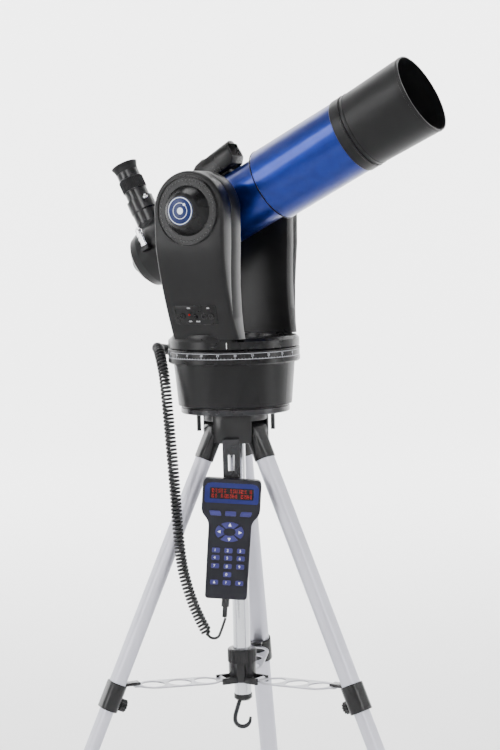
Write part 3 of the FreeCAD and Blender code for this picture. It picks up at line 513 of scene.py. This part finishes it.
arm_housing("near_arm_housing", -1, 66.2, 93, 117, 88, 4.2, ["near_arm_shell", "near_arm_cover"])
arm_housing("far_arm_housing", 1, 68.2, 88, 103, 88, 5.0, ["far_arm"])
PANEL = Matrix.Translation((-3 * MM, -arm_face(140, 117, 88) * MM, BASE + 140 * MM)) @ Matrix.Rotation(
    math.radians(15.25), 4, "X")


TO_NEAR = Matrix.Rotation(math.pi / 2, 4, "X")


def lathe(name, profile, at, steps=64, smooth=35):
    """A turned piece from (radius, height) pairs, closed on the axis where the radius is zero."""
    bm = bmesh.new()
    rings = []
    for radius, height in profile:
        if radius == 0:
            rings.append([bm.verts.new(at @ Vector((0, 0, height * MM)))])
            continue
        ring = []
        for i in range(steps):
            angle = 2 * math.pi * i / steps
            spot = Vector((math.cos(angle) * radius, math.sin(angle) * radius, height)) * MM
            ring.append(bm.verts.new(at @ spot))
        rings.append(ring)
    for a, b in zip(rings, rings[1:]):
        for i in range(steps):
            j = (i + 1) % steps
            corners = [a[i % len(a)], a[j % len(a)], b[j % len(b)], b[i % len(b)]]
            unique = list(dict.fromkeys(corners))
            if len(unique) > 2:
                bm.faces.new(unique)
    return new_piece(name, bm, smooth)


def cushion(bm, at, wide, high, corner, low, proud, ease=0.4, skew=0.0):
    """A rounded-corner pad in the XZ plane, rising along -Y from low to proud, its rim eased."""
    rings = []
    for inset, rise in ((0, low), (0, proud - ease), (ease * 0.3, proud - ease * 0.3), (ease, proud)):
        ring = []
        for side, top, first in ((1, 1, 0), (-1, 1, 90), (-1, -1, 180), (1, -1, 270)):
            for k in range(6):
                angle = math.radians(first + 18 * k)
                x = side * (wide / 2 - corner) + (corner - inset) * math.cos(angle)
                z = top * (high / 2 - corner) + (corner - inset) * math.sin(angle)
                ring.append(bm.verts.new(at @ (Vector((x + skew * z, -rise, z)) * MM)))
        rings.append(ring)
    for a, b in zip(rings, rings[1:]):
        for i in range(24):
            j = (i + 1) % 24
            bm.faces.new((a[i], a[j], b[j], b[i]))
    bm.faces.new(rings[0])
    bm.faces.new(rings[-1])


def panel_details():
    """The raised panel, its L-shaped index, two sockets, a red lamp and the switch's surround."""
    bm = bmesh.new()
    cushion(bm, PANEL, 66, 27, 2.5, -1.5, 0.5, 0.3)
    finished("panel_plate", bm, satin, "fork", "black_plastic", "control_panel")
    bm = bmesh.new()
    cushion(bm, PANEL @ Matrix.Translation((-23 * MM, 0, 8 * MM)), 17, 0.8, 0.3, 0.3, 1.1, 0.2)
    cushion(bm, PANEL @ Matrix.Translation((-31 * MM, 0, 5 * MM)), 0.8, 6.5, 0.3, 0.3, 1.1, 0.2)
    cushion(bm, PANEL @ Matrix.Translation((-9.4 * MM, 0, 0.5 * MM)), 7, 11, 1.4, 0.3, 1.0, 0.3)
    finished("panel_frames", bm, satin, "fork", "black_plastic")
    for number, x in enumerate((-20.6, 13.4, 24.5)):
        socket = lathe("panel_socket_%d" % number, [
            (0, 0.4), (2.2, 0.4), (2.2, 1.3), (2.8, 1.7), (3.6, 1.7), (4.1, 1.2), (4.1, -0.3)],
            PANEL @ Matrix.Translation((x * MM, -0.2 * MM, -1.5 * MM)) @ TO_NEAR, 36)
        socket.data.materials.append(satin)
        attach(socket, "fork")
    lamp = lathe("panel_lamp", [(0, 2.0), (0.9, 1.8), (1.5, 1.2), (1.6, 0.3)],
                 PANEL @ Matrix.Translation((-9.4 * MM, -0.5 * MM, 0.5 * MM)) @ TO_NEAR, 28)
    lamp.data.materials.append(
        surface("lamp red", (0.3, 0.008, 0.008), (0.2, 0.005, 0.005), (0.1, 0.2), 900, 0.05))
    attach(lamp, "fork")


panel_details()


def panel_word(number):
    spots = [(-9.4, 9.6), (-9.4, -9.2), (2.6, -9.2), (21, 9.6)]
    x, z = spots[number]
    return PANEL @ Matrix.Translation((x * MM, -0.55 * MM, z * MM)) @ Matrix.Rotation(math.pi / 2, 4, "X")


figures("panel_words", ["ON", "OFF", "AUX", "I/O"], 3.0 * MM, panel_word, "fork",
        ink("panel ink", (0.7, 0.7, 0.72)))

# ---- Altitude dial ----
# A turned disc with a ring of moulded studs and a raised boss that holds a round printed badge.

FACE = -(117 + 0.3 + 1.2) * MM
BOSS = FACE - 17.5 * MM


def dial_point(radius, degrees, y):
    angle = math.radians(degrees)
    return Vector((radius * math.cos(angle), y, AXIS + radius * math.sin(angle)))


badge_at = Matrix.Translation((0, BOSS, AXIS)) @ TO_NEAR


def dial_studs():
    bm = bmesh.new()
    for stud in range(48):
        at = Matrix.Translation(dial_point(41 * MM, 7.5 * stud, FACE - 0.1 * MM))
        flatten = Matrix.Diagonal((1, 0.6, 1, 1))
        bmesh.ops.create_icosphere(bm, subdivisions=2, radius=1.25 * MM, matrix=at @ flatten)
    studs = new_piece("dial_studs", bm)
    studs.data.materials.append(surface(
        "polished nylon", (0.012, 0.012, 0.013), (0.009, 0.009, 0.01), (0.08, 0.16), 900, 0.1, sheen=0.6))
    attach(studs, "tube")


def dial_rings():
    """The raised lip outside the studs and the step at the boss's root."""
    at = Matrix.Translation((0, FACE, AXIS)) @ TO_NEAR
    rings = lathe("dial_rings", [
        (44.4, -0.2), (44.6, 0.9), (45.4, 1.2), (46.2, 0.9), (46.4, -0.2)], at, 96)
    rings.data.materials.append(satin)
    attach(rings, "tube")


def badge():
    """A blue disc with a white rim, a small globe and an orbit with one moon."""
    disc = lathe("badge_disc", [(0, 0.55), (18.4, 0.55), (19.2, 0.2), (19.2, -0.1)], badge_at, 96)
    disc.data.materials.append(
        surface("badge blue", (0.005, 0.014, 0.075), (0.004, 0.011, 0.06), (0.2, 0.3), 1200, 0.1))
    bm = bmesh.new()
    for inner, outer in ((17.3, 18.3), (10.2, 10.9)):
        rows = []
        for i in range(96):
            angle = 2 * math.pi * i / 96
            out = Vector((math.cos(angle), math.sin(angle), 0))
            rows.append([bm.verts.new(badge_at @ ((out * r + Vector((0, 0, h))) * MM)) for r, h in (
                (inner, 0.5), (inner, 0.72), (outer, 0.72), (outer, 0.5))])
        for a, b in zip(rows, rows[1:] + rows[:1]):
            for k in range(4):
                bm.faces.new((a[k], b[k], b[(k + 1) % 4], a[(k + 1) % 4]))
    for radius, degrees, reach in ((4.6, 0, 0), (1.9, 52, 10.5)):
        turn = math.radians(degrees)
        shift = Vector((math.cos(turn) * reach, math.sin(turn) * reach, 0.6)) * MM
        disc_at = badge_at @ Matrix.Translation(shift)
        bmesh.ops.create_cone(bm, cap_ends=True, segments=40, radius1=radius * MM,
                              radius2=radius * MM * 0.96, depth=0.3 * MM, matrix=disc_at)
    marks = new_piece("badge_marks", bm)
    marks.data.materials.append(ink("badge white", (0.62, 0.68, 0.78)))
    for piece in (disc, marks):
        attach(piece, "tube")


dial_studs()
dial_rings()
badge()

# ---- Optical tube ----
# Rolled aluminium tube sprayed metallic blue under clear lacquer, with moulded black cell,
# dew shield and rear cell pressed on and screwed.

TILT = math.radians(26.4)
TUBE = Matrix.Translation((0, 0, AXIS)) @ Matrix.Rotation(-TILT, 4, "Y")
ALONG = TUBE @ Matrix.Rotation(math.pi / 2, 4, "Y")


def blue_lacquer():
    """Blue metallic paint under a clear coat."""
    material = surface(
        "blue lacquer", (0.0035, 0.018, 0.17), (0.0025, 0.014, 0.14), (0.26, 0.32), 2600, 0.12, 0.85, 60)
    shader = material.node_tree.nodes["Principled BSDF"]
    shader.inputs["Coat Weight"].default_value = 0.35
    shader.inputs["Coat Roughness"].default_value = 0.1
    return material


dress(blue_lacquer(), "rear_tube", "front_tube")
shade = surface(
    "dew shield black", (0.0034, 0.0034, 0.0038), (0.0025, 0.0025, 0.0028), (0.32, 0.42), 900, 0.22)
dress(shade, "dew_shield", "lens_cell")


def lens_coating():
    material = bpy.data.materials.new("coated glass")
    material.use_nodes = True
    nodes = material.node_tree.nodes
    links = material.node_tree.links
    shader = nodes["Principled BSDF"]
    shader.inputs["Roughness"].default_value = 0.03
    shader.inputs["Transmission Weight"].default_value = 0.55
    shader.inputs["Coat Weight"].default_value = 0.8
    shader.inputs["Coat Tint"].default_value = (0.4, 0.9, 0.7, 1)
    angle = nodes.new("ShaderNodeLayerWeight")
    angle.inputs["Blend"].default_value = 0.4
    ramp = nodes.new("ShaderNodeValToRGB")
    ramp.color_ramp.elements[0].color = (0.01, 0.05, 0.035, 1)
    ramp.color_ramp.elements[1].color = (0.12, 0.05, 0.2, 1)
    links.new(angle.outputs["Facing"], ramp.inputs["Fac"])
    links.new(ramp.outputs["Color"], shader.inputs["Base Color"])
    return material


dress(lens_coating(), "objective_lens")


def tube_bands():
    """The rolled seam, the cell's groove and the bead behind the dew shield."""
    for name, spot, radius, wide, proud, body in (
            ("seam_band", 76.5, 51.9, 1.6, 0.5, "tube"),
            ("cell_bead", 226.5, 52.9, 1.6, 0.5, "tube"),
            ("shield_bead", 233.5, 52.2, 2.4, 0.9, "dew_shield"),
            ("mouth_bead", 322.4, 54.9, 3.0, 0.7, "dew_shield")):
        at = ALONG @ Matrix.Translation((0, 0, spot * MM))
        half = wide / 2
        profile = [(radius - 0.6, -half), (radius + proud * 0.7, -half * 0.7), (radius + proud, 0),
                   (radius + proud * 0.7, half * 0.7), (radius - 0.6, half)]
        band = lathe(name, profile, at, 96)
        band.data.materials.append(satin if body == "tube" else shade)
        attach(band, body)


tube_bands()

# ---- Eyepiece end ----
# The moulded rear cell carries the flip mirror, an eyepiece holder with a nickelled screw, a
# black anodised eyepiece with a rolled rubber cup, and the chromed lever beside them.

anodised = surface(
    "black anodised", (0.007, 0.007, 0.008), (0.005, 0.005, 0.006), (0.16, 0.26), 2200, 0.12, 0.1,
    sheen=0.35)
dress(anodised, "eyepiece", "eyepiece_holder", "focus_knob")
soft_rubber = surface("soft rubber", (0.009, 0.009, 0.01), (0.006, 0.006, 0.007), (0.5, 0.65), 1300, 0.35)
dress(soft_rubber, "eyecup")
plate = surface("bright plate", (0.86, 0.86, 0.88), (0.78, 0.78, 0.81), (0.08, 0.16), 700, 0.05, 1.0)
dress(satin, "flip_mirror")
UP = Matrix.Translation(PIVOT["flip_mirror"]) @ Matrix.Rotation(-TILT, 4, "Y")


def knurled(name, radius, low, high, ribs, at, material, body, deep=0.5, hub=0.0, node=None):
    """A knob with straight ribs round its edge and eased rims, solid or with a bore."""
    bm = bmesh.new()
    steps = ribs * 4

    def ring_of(reach_at, level):
        ring = []
        for i in range(steps):
            angle = 2 * math.pi * i / steps
            spot = Vector((math.cos(angle) * reach_at(i), math.sin(angle) * reach_at(i), level)) * MM
            ring.append(bm.verts.new(at @ spot))
        return ring

    def join(a, b):
        for i in range(steps):
            j = (i + 1) % steps
            bm.faces.new((a[i], a[j], b[j], b[i]))

    rings = []
    for level, inset in ((low, -0.9), (low + 0.8, 0), (high - 0.8, 0), (high, -0.9)):
        rings.append(ring_of(lambda i: radius + inset - deep + (deep if i % 4 in (1, 2) else 0.0), level))
    for a, b in zip(rings, rings[1:]):
        join(a, b)
    if hub:
        under = ring_of(lambda i: hub, low)
        over = ring_of(lambda i: hub, high)
        join(rings[0], under)
        join(rings[-1], over)
        join(under, over)
    else:
        bm.faces.new(rings[0])
        bm.faces.new(rings[-1])
    piece = new_piece(name, bm, 30)
    piece.data.materials.append(material)
    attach(piece, body)
    if node:
        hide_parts(node)
    return piece


knurled("eyepiece_grip", 18.0, 99, 116.5, 44, UP, soft_rubber, "eyepiece", 0.7, 16.8)
FOCUS_AT = TUBE @ Matrix.Translation((-160.3 * MM, 0, 2 * MM)) @ Matrix.Rotation(-math.pi / 2, 4, "Y")
knurled("focus_grip", 13.5, 3, 10.5, 30, FOCUS_AT, soft_rubber, "focus_knob", 0.6, 12.4)


def holder_screw():
    at = UP @ Matrix.Translation((0, 0, 78.5 * MM)) @ Matrix.Rotation(math.radians(50), 4, "Z")
    at = at @ Matrix.Translation((0, -19.9 * MM, 0)) @ TO_NEAR
    screw = lathe("holder_screw_head", [
        (0, 7.8), (2.2, 7.8), (3.1, 7.2), (3.4, 6.2), (3.4, 2.4), (3.0, 1.8), (1.7, 1.5), (1.7, 0),
        (0, 0)], at, 32)
    screw.data.materials.append(plate)
    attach(screw, "holder_screw")
    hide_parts("holder_screw")


def eye_lens():
    at = UP @ Matrix.Translation((0, 0, 125 * MM))
    lens = lathe("eye_lens", [(0, 1.6), (4, 1.35), (8, 0.6), (11.6, -0.6), (11.6, -0.9)], at, 48)
    lens.data.materials.append(bpy.data.materials["coated glass"])
    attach(lens, "eyepiece")


def lever_head():
    """The lever as a stepped chrome thumb-piece: a collar, a waist, a fluted grip and a dome."""
    at = TUBE @ Matrix.Translation((-118.2 * MM, -51.5 * MM, 7.5 * MM))
    lever = lathe("lever_head", [
        (0, 0), (4.6, 0), (5.1, 0.5), (5.1, 3.2), (4.4, 3.8), (4.4, 8), (5.1, 8.6), (5.1, 12), (4.2, 12.6),
        (4.2, 14), (5.1, 14.6), (5.1, 24.5), (4.5, 25.4), (3.4, 26), (3.4, 27.4), (2.6, 28.4),
        (0, 29)], at, 40)
    lever.data.materials.append(plate)
    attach(lever, "barlow_lever")
    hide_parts("barlow_lever")


holder_screw()
eye_lens()
lever_head()

# ---- Red-dot finder ----
# A moulded body on a foot over the rear tube, open at the front, with a coated window.

def eased(name, node, width, material, body, sharp=32):
    """A moulding remade from its CAD shape with the hard outer edges rounded."""
    bm = bmesh.new()
    bm.from_mesh(bpy.data.objects[node].data)
    bmesh.ops.remove_doubles(bm, verts=bm.verts[:], dist=2e-5)
    bmesh.ops.dissolve_limit(bm, angle_limit=math.radians(2), verts=bm.verts[:], edges=bm.edges[:])
    edges = [edge for edge in bm.edges if len(edge.link_faces) == 2
             and edge.calc_face_angle_signed(0) > math.radians(sharp)]
    bmesh.ops.bevel(bm, geom=edges, offset=width * MM, offset_type="OFFSET", segments=3, profile=0.5,
                    affect="EDGES", clamp_overlap=False)
    piece = new_piece(name, bm, 38)
    piece.data.materials.append(material)
    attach(piece, body)
    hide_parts(node)
    return piece


eased("finder_hood", "finder_body", 1.6, satin, "tube")


def finder_window():
    at = TUBE @ Matrix.Translation((34.6 * MM, 0, 70.5 * MM)) @ Matrix.Rotation(math.radians(90), 4, "Y")
    pane = lathe("finder_pane", [(0, 0.6), (6.2, 0.5), (7.0, 0.2), (7.0, -0.4), (0, -0.5)], at, 40)
    pane.data.materials.append(bpy.data.materials["coated glass"])
    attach(pane, "tube")


finder_window()

# ---- Tripod ----
# Extruded flat-oval aluminium legs, satin anodised, in moulded black fittings; the column is
# bright-drawn tube and the braces are stamped strip.


def drawn_aluminium(name, colour, rough):
    """Long drawing lines down the tube over a satin metal."""
    material = surface(name, colour, tuple(0.93 * c for c in colour), rough, 1500, 0.1, 0.85, 14)
    nodes = material.node_tree.nodes
    links = material.node_tree.links
    stretch = nodes.new("ShaderNodeMapping")
    stretch.inputs["Scale"].default_value = (700, 700, 6)
    lines = nodes.new("ShaderNodeTexNoise")
    lines.inputs["Scale"].default_value = 1.0
    place = nodes["Texture Coordinate"]
    links.new(place.outputs["Object"], stretch.inputs["Vector"])
    links.new(stretch.outputs["Vector"], lines.inputs["Vector"])
    links.new(lines.outputs["Fac"], nodes["Bump"].inputs["Height"])
    return material


leg_metal = drawn_aluminium("satin aluminium", (0.5, 0.5, 0.56), (0.46, 0.56))
column_metal = drawn_aluminium("bright aluminium", (0.6, 0.61, 0.64), (0.14, 0.24))
fitting = surface(
    "fitting nylon", (0.006, 0.006, 0.0066), (0.0045, 0.0045, 0.005), (0.2, 0.3), 1300, 0.2, sheen=0.3)
steel = surface(
    "blackened steel", (0.016, 0.016, 0.018), (0.01, 0.01, 0.012), (0.2, 0.3), 1800, 0.15, 0.3, sheen=0.4)
dress(leg_metal, "leg_tube_back", "leg_tube_left", "leg_tube_right")
dress(leg_metal, "lower_leg_back", "lower_leg_left", "lower_leg_right")
dress(column_metal, "column_tube")
dress(fitting, "column_cap")
eased("head_casting", "tripod_head", 2.2, fitting, "stand")
eased("collar_moulding", "spreader_collar", 0.5, fitting, "collar")
dress(steel, "mounting_pegs", "base_plate")
eased("holder_bracket", "handset_holder", 1.0, steel, "stand")
brace_metal = surface(
    "stamped aluminium", (0.42, 0.42, 0.45), (0.36, 0.36, 0.39), (0.3, 0.42), 800, 0.12, 0.8)
dress(brace_metal, "brace_back", "brace_left", "brace_right")
dress(surface("motor steel", (0.45, 0.45, 0.47), (0.38, 0.38, 0.4), (0.3, 0.45), 900, 0.1, 1.0),
      "azimuth_motor", "altitude_motor", "altitude_shafts")
dress(satin, "power_switch")
LEGS = {"back": 82, "left": 202, "right": 322}
LEG_TILT = math.radians(24.4)


def leg_frame(angle):
    turn = Matrix.Translation((0, 0, BASE)) @ STAND_TURN @ Matrix.Rotation(math.radians(angle), 4, "Z")
    return turn @ Matrix.Translation((32 * MM, 0, -25 * MM)) @ Matrix.Rotation(-LEG_TILT, 4, "Y")


for leg, angle in LEGS.items():
    eased("fittings_" + leg, "leg_fittings_" + leg, 1.4, fitting, "leg_" + leg)
    knob_at = leg_frame(angle) @ Matrix.Translation((-12.55 * MM, 0, -402 * MM)) @ Matrix.Rotation(
        -math.pi / 2, 4, "Y")
    knurled("clamp_grip_" + leg, 9.0, 1.5, 11, 12, knob_at, fitting, "clamp_knob_" + leg,
            1.2, 0, "clamp_knob_" + leg)


knurled("collar_flutes", 20.6, -358, -339, 26, Matrix.Translation((0, 0, BASE)), fitting, "collar",
        0.9, 19.4)


def hook_shape():
    """A cast hook: thick at the column, swelling round the bend and tapering to a blunt tip."""
    line = [(-4.2, 0.5), (-5.6, -3), (-7.4, -8.5), (-9.3, -14.5), (-11.2, -20.5), (-12.3, -27)]
    line += [(-1.5 - 10.8 * math.cos(math.radians(12 * k)), -29 - 10.8 * math.sin(math.radians(12 * k)))
             for k in range(16)]
    line += [(9.9, -26.2)]
    bm = bmesh.new()
    rows = []
    count = len(line)
    for i, (x, z) in enumerate(line):
        before = Vector((*line[max(i - 1, 0)], 0))
        after = Vector((*line[min(i + 1, count - 1)], 0))
        ahead = (after - before).normalized()
        thick = 3.1 - 1.2 * max(0.0, (i - 16) / (count - 17)) if i > 16 else 3.1
        ring = []
        for k in range(20):
            turn = 2 * math.pi * k / 20
            across = math.cos(turn) * thick
            deep = math.sin(turn) * thick
            ring.append(bm.verts.new(on_stand((x - ahead.y * across, deep, -413 + z + ahead.x * across))))
        rows.append(ring)
    for a, b in zip(rows, rows[1:]):
        for k in range(20):
            bm.faces.new((a[k], a[(k + 1) % 20], b[(k + 1) % 20], b[k]))
    bm.faces.new(rows[0])
    bm.faces.new(rows[-1])
    finished("hook", bm, steel, "stand", "black_metal", "column_hook")


hook_shape()

# ---- Handset ----
# Two moulded shells around a blue printed panel, a red dot-matrix display and moulded keys with
# white figures. It hangs face out from a slotted steel holder on the tripod head.

handset_shell = surface(
    "handset shell", (0.0085, 0.0085, 0.013), (0.0065, 0.0065, 0.01), (0.36, 0.46), 1600, 0.25)
HANDSET = Matrix.Translation((0, 0, BASE)) @ STAND_TURN @ Matrix.Translation(
    Vector((-13.6, -75 + 21.9 / 2, -170)) * MM) @ Matrix.Rotation(math.radians(4.8), 4, "Y")
FRONT = 21.9 / 2


def rounded(corners):
    """A closed outline with each corner (x, z, radius) turned into a short curve."""
    outline = []
    count = len(corners)
    for i, (x, z, radius) in enumerate(corners):
        here = Vector((x, z))
        back = (Vector(corners[i - 1][:2]) - here).normalized()
        ahead = (Vector(corners[(i + 1) % count][:2]) - here).normalized()
        enter = here + back * radius
        leave = here + ahead * radius
        for k in range(7):
            share = k / 6
            outline.append(enter.lerp(here, share).lerp(here.lerp(leave, share), share))
    return outline


def half_shell(name, sign, ease, node):
    """One moulded half: the side wall out from the joint line, then a rounded rim and the face."""
    side = [(29, -83.15, 5), (29.6, 24, 7), (40.4, 36, 7), (40.4, 83.15, 8)]
    outline = rounded(side + [(-x, z, radius) for x, z, radius in side[::-1]])
    bm = bmesh.new()
    rows = []
    steps = [(0.5, 0.0), (0.5, 0.25), (0.0, 0.3)]
    for k in range(7):
        turn = math.radians(15 * k)
        steps.append((ease * (1 - math.cos(turn)), FRONT - ease + ease * math.sin(turn)))
    count = len(outline)
    for inset, rise in steps:
        row = []
        for i, spot in enumerate(outline):
            along = (outline[(i + 1) % count] - outline[i - 1]).normalized()
            spot = spot + Vector((-along.y, along.x)) * inset
            row.append(bm.verts.new(HANDSET @ (Vector((spot.x, sign * rise, spot.y)) * MM)))
        rows.append(row)
    for a, b in zip(rows, rows[1:]):
        for i in range(count):
            j = (i + 1) % count
            bm.faces.new((a[i], a[j], b[j], b[i]))
    bm.faces.new(rows[0])
    bm.faces.new(rows[-1])
    finished(name, bm, handset_shell, "stand", "handset_shell", node)


half_shell("handset_front_shell", -1, 1.6, "handset_front")
half_shell("handset_back_shell", 1, 3.5, "handset_back")


def face_at(x, z):
    return HANDSET @ Matrix.Translation((x * MM, 0, z * MM))


def key_block(name, keys, corner, material, body, node, skews=None):
    bm = bmesh.new()
    for number, (x, z, wide, high) in enumerate(keys):
        skew = skews[number] if skews else 0.0
        cushion(bm, face_at(x, z), wide, high, corner, FRONT - 2.2, FRONT + 1.5, 0.5, skew)
    finished(name, bm, material, body, "key_blue", node)


def arrow_ring():
    """An oval ring cut into four keys by diagonal gaps."""
    section = ((0.0, -2.2), (0.0, 0.9), (0.06, 1.3), (0.94, 1.3), (1.0, 0.9), (1.0, -2.2))
    bm = bmesh.new()
    for quarter in range(4):
        rows = []
        for step in range(13):
            turn = math.radians(90 * quarter - 45 + 7 + (90 - 14) * step / 12)
            row = []
            for share, rise in section:
                wide = 8.5 + (19.5 - 8.5) * share
                tall = 5.6 + (13.6 - 5.6) * share
                row.append(bm.verts.new(face_at(0, 10.6) @ (Vector((
                    math.cos(turn) * wide, -(FRONT + rise), math.sin(turn) * tall)) * MM)))
            rows.append(row)
        for a, b in zip(rows, rows[1:]):
            for k in range(6):
                bm.faces.new((a[k], a[(k + 1) % 6], b[(k + 1) % 6], b[k]))
        bm.faces.new(rows[0])
        bm.faces.new(rows[-1])
    finished("arrow_ring", bm, key_rubber, "arrow_keys", "key_blue", "arrow_keys")


def triangles(name, spots, body):
    """White pointers printed on the keys: (x, z, direction in degrees, size)."""
    bm = bmesh.new()
    for x, z, degrees, size in spots:
        corners = []
        for k in (0, 130, 230):
            turn = math.radians(degrees + k)
            corners.append((x + size * math.cos(turn), z + size * math.sin(turn)))
        low = [bm.verts.new(HANDSET @ (Vector((a, -(FRONT + 1.35), b)) * MM)) for a, b in corners]
        high = [bm.verts.new(HANDSET @ (Vector((a, -(FRONT + 1.62), b)) * MM)) for a, b in corners]
        bm.faces.new(low)
        bm.faces.new(high)
        for k in range(3):
            bm.faces.new((low[k], low[(k + 1) % 3], high[(k + 1) % 3], high[k]))
    finished(name, bm, key_ink, body, "key_blue")


def key_figure(number):
    spots = [(x, z) for z in (-15.2, -25.6, -37.1) for x in (-17.3, 0, 17.3)] + [(0, -48.4), (0, -59.8)]
    x, z = spots[number]
    return face_at(x - 1.2, z) @ Matrix.Translation((0, -(FRONT + 1.52) * MM, 0)) @ Matrix.Rotation(
        math.pi / 2, 4, "X")


def display():
    """A smoked window over two rows of five-by-seven dots, some of them lit."""
    bm = bmesh.new()
    cushion(bm, face_at(0, 63.5), 60, 15.4, 1.2, FRONT - 2.0, FRONT + 0.4, 0.15)
    finished("display_window", bm, display_black, "stand", "screen_glass", "handset_screen")
    bm = bmesh.new()
    for row in range(2):
        for cell in range(14):
            for i in range(5):
                for k in range(7):
                    blank = (cell + 3 * row) % 7 == 5
                    if blank or (3 * i + 5 * k + 7 * cell + 11 * row + i * k * (cell + 2)) % 5 > 1:
                        continue
                    x = -27.2 + 4.0 * cell + 0.66 * i
                    z = 69.2 - 7.0 * row - 0.78 * k
                    add_tab(bm, (x * MM, -(FRONT + 0.52) * MM, z * MM),
                            ((x + 0.46) * MM, -(FRONT + 0.36) * MM, (z + 0.54) * MM), HANDSET)
    lit = surface("dot red", (0.35, 0.006, 0.006), (0.3, 0.005, 0.005), (0.4, 0.5), 900, 0.02)
    finished("display_dots", bm, lit, "stand", "screen_glass")
    shader = lit.node_tree.nodes["Principled BSDF"]
    shader.inputs["Emission Color"].default_value = (1.0, 0.03, 0.02, 1)
    shader.inputs["Emission Strength"].default_value = 0.35


def blue_panel():
    """The printed panel round the window, wide at the head and tapering with the shell."""
    bm = bmesh.new()
    side = [(35.5, 50), (37, 53), (37, 72), (34, 76.5), (28, 78)]
    shape = [(-x, z) for x, z in side] + side[::-1]
    rows = []
    for inset, rise in ((0, -0.5), (0, 0.06), (0.5, 0.14)):
        row = []
        for x, z in shape:
            spot = Vector((x * (1 - inset / 37), -(FRONT + rise), 64 + (z - 64) * (1 - inset / 14)))
            row.append(bm.verts.new(HANDSET @ (spot * MM)))
        rows.append(row)
    for a, b in zip(rows, rows[1:]):
        for i in range(len(shape)):
            j = (i + 1) % len(shape)
            bm.faces.new((a[i], a[j], b[j], b[i]))
    bm.faces.new(rows[0])
    bm.faces.new(rows[-1])
    panel_blue = surface("panel blue", (0.008, 0.012, 0.1), (0.006, 0.009, 0.08), (0.3, 0.4), 1500, 0.1)
    finished("blue_panel", bm, panel_blue, "stand", "black_plastic")


key_rubber = surface("key rubber", (0.035, 0.035, 0.15), (0.028, 0.028, 0.12), (0.35, 0.5), 1500, 0.2)
key_ink = ink("key ink", (0.75, 0.76, 0.85))
display_black = surface(
    "display black", (0.004, 0.003, 0.003), (0.003, 0.002, 0.002), (0.06, 0.1), 600, 0.03)
blue_panel()
display()
soft_keys = [(x, 36, 15, 6.5) for x in (-21, 0, 21)]
number_keys = [(x, z, 11, 6.5) for z in (-15.2, -25.6, -37.1, -59.8) for x in (-17.3, 0, 17.3)]
number_keys.append((0, -48.4, 11, 6.5))
key_block("soft_key_caps", soft_keys, 1.5, key_rubber, "soft_keys", "soft_keys", (-0.35, 0, 0.35))
arrow_ring()
key_block("number_key_caps", number_keys, 1.6, key_rubber, "number_keys", "number_keys")
figures("key_figures", list("1234567890?"), 5.2 * MM, key_figure, "number_keys", key_ink,
        0.1 * MM)
triangles("arrow_marks", [
    (0, 20.4, 90, 2.6), (0, 0.8, -90, 2.6), (-14.2, 10.6, 180, 2.6), (14.2, 10.6, 0, 2.6)], "arrow_keys")
triangles("scroll_marks", [(-17.3, -59.8, 90, 2.0), (17.3, -59.8, -90, 2.0)], "number_keys")
dress(bpy.data.materials["cord vinyl"], "cord_plugs")
bpy.context.view_layer.update()
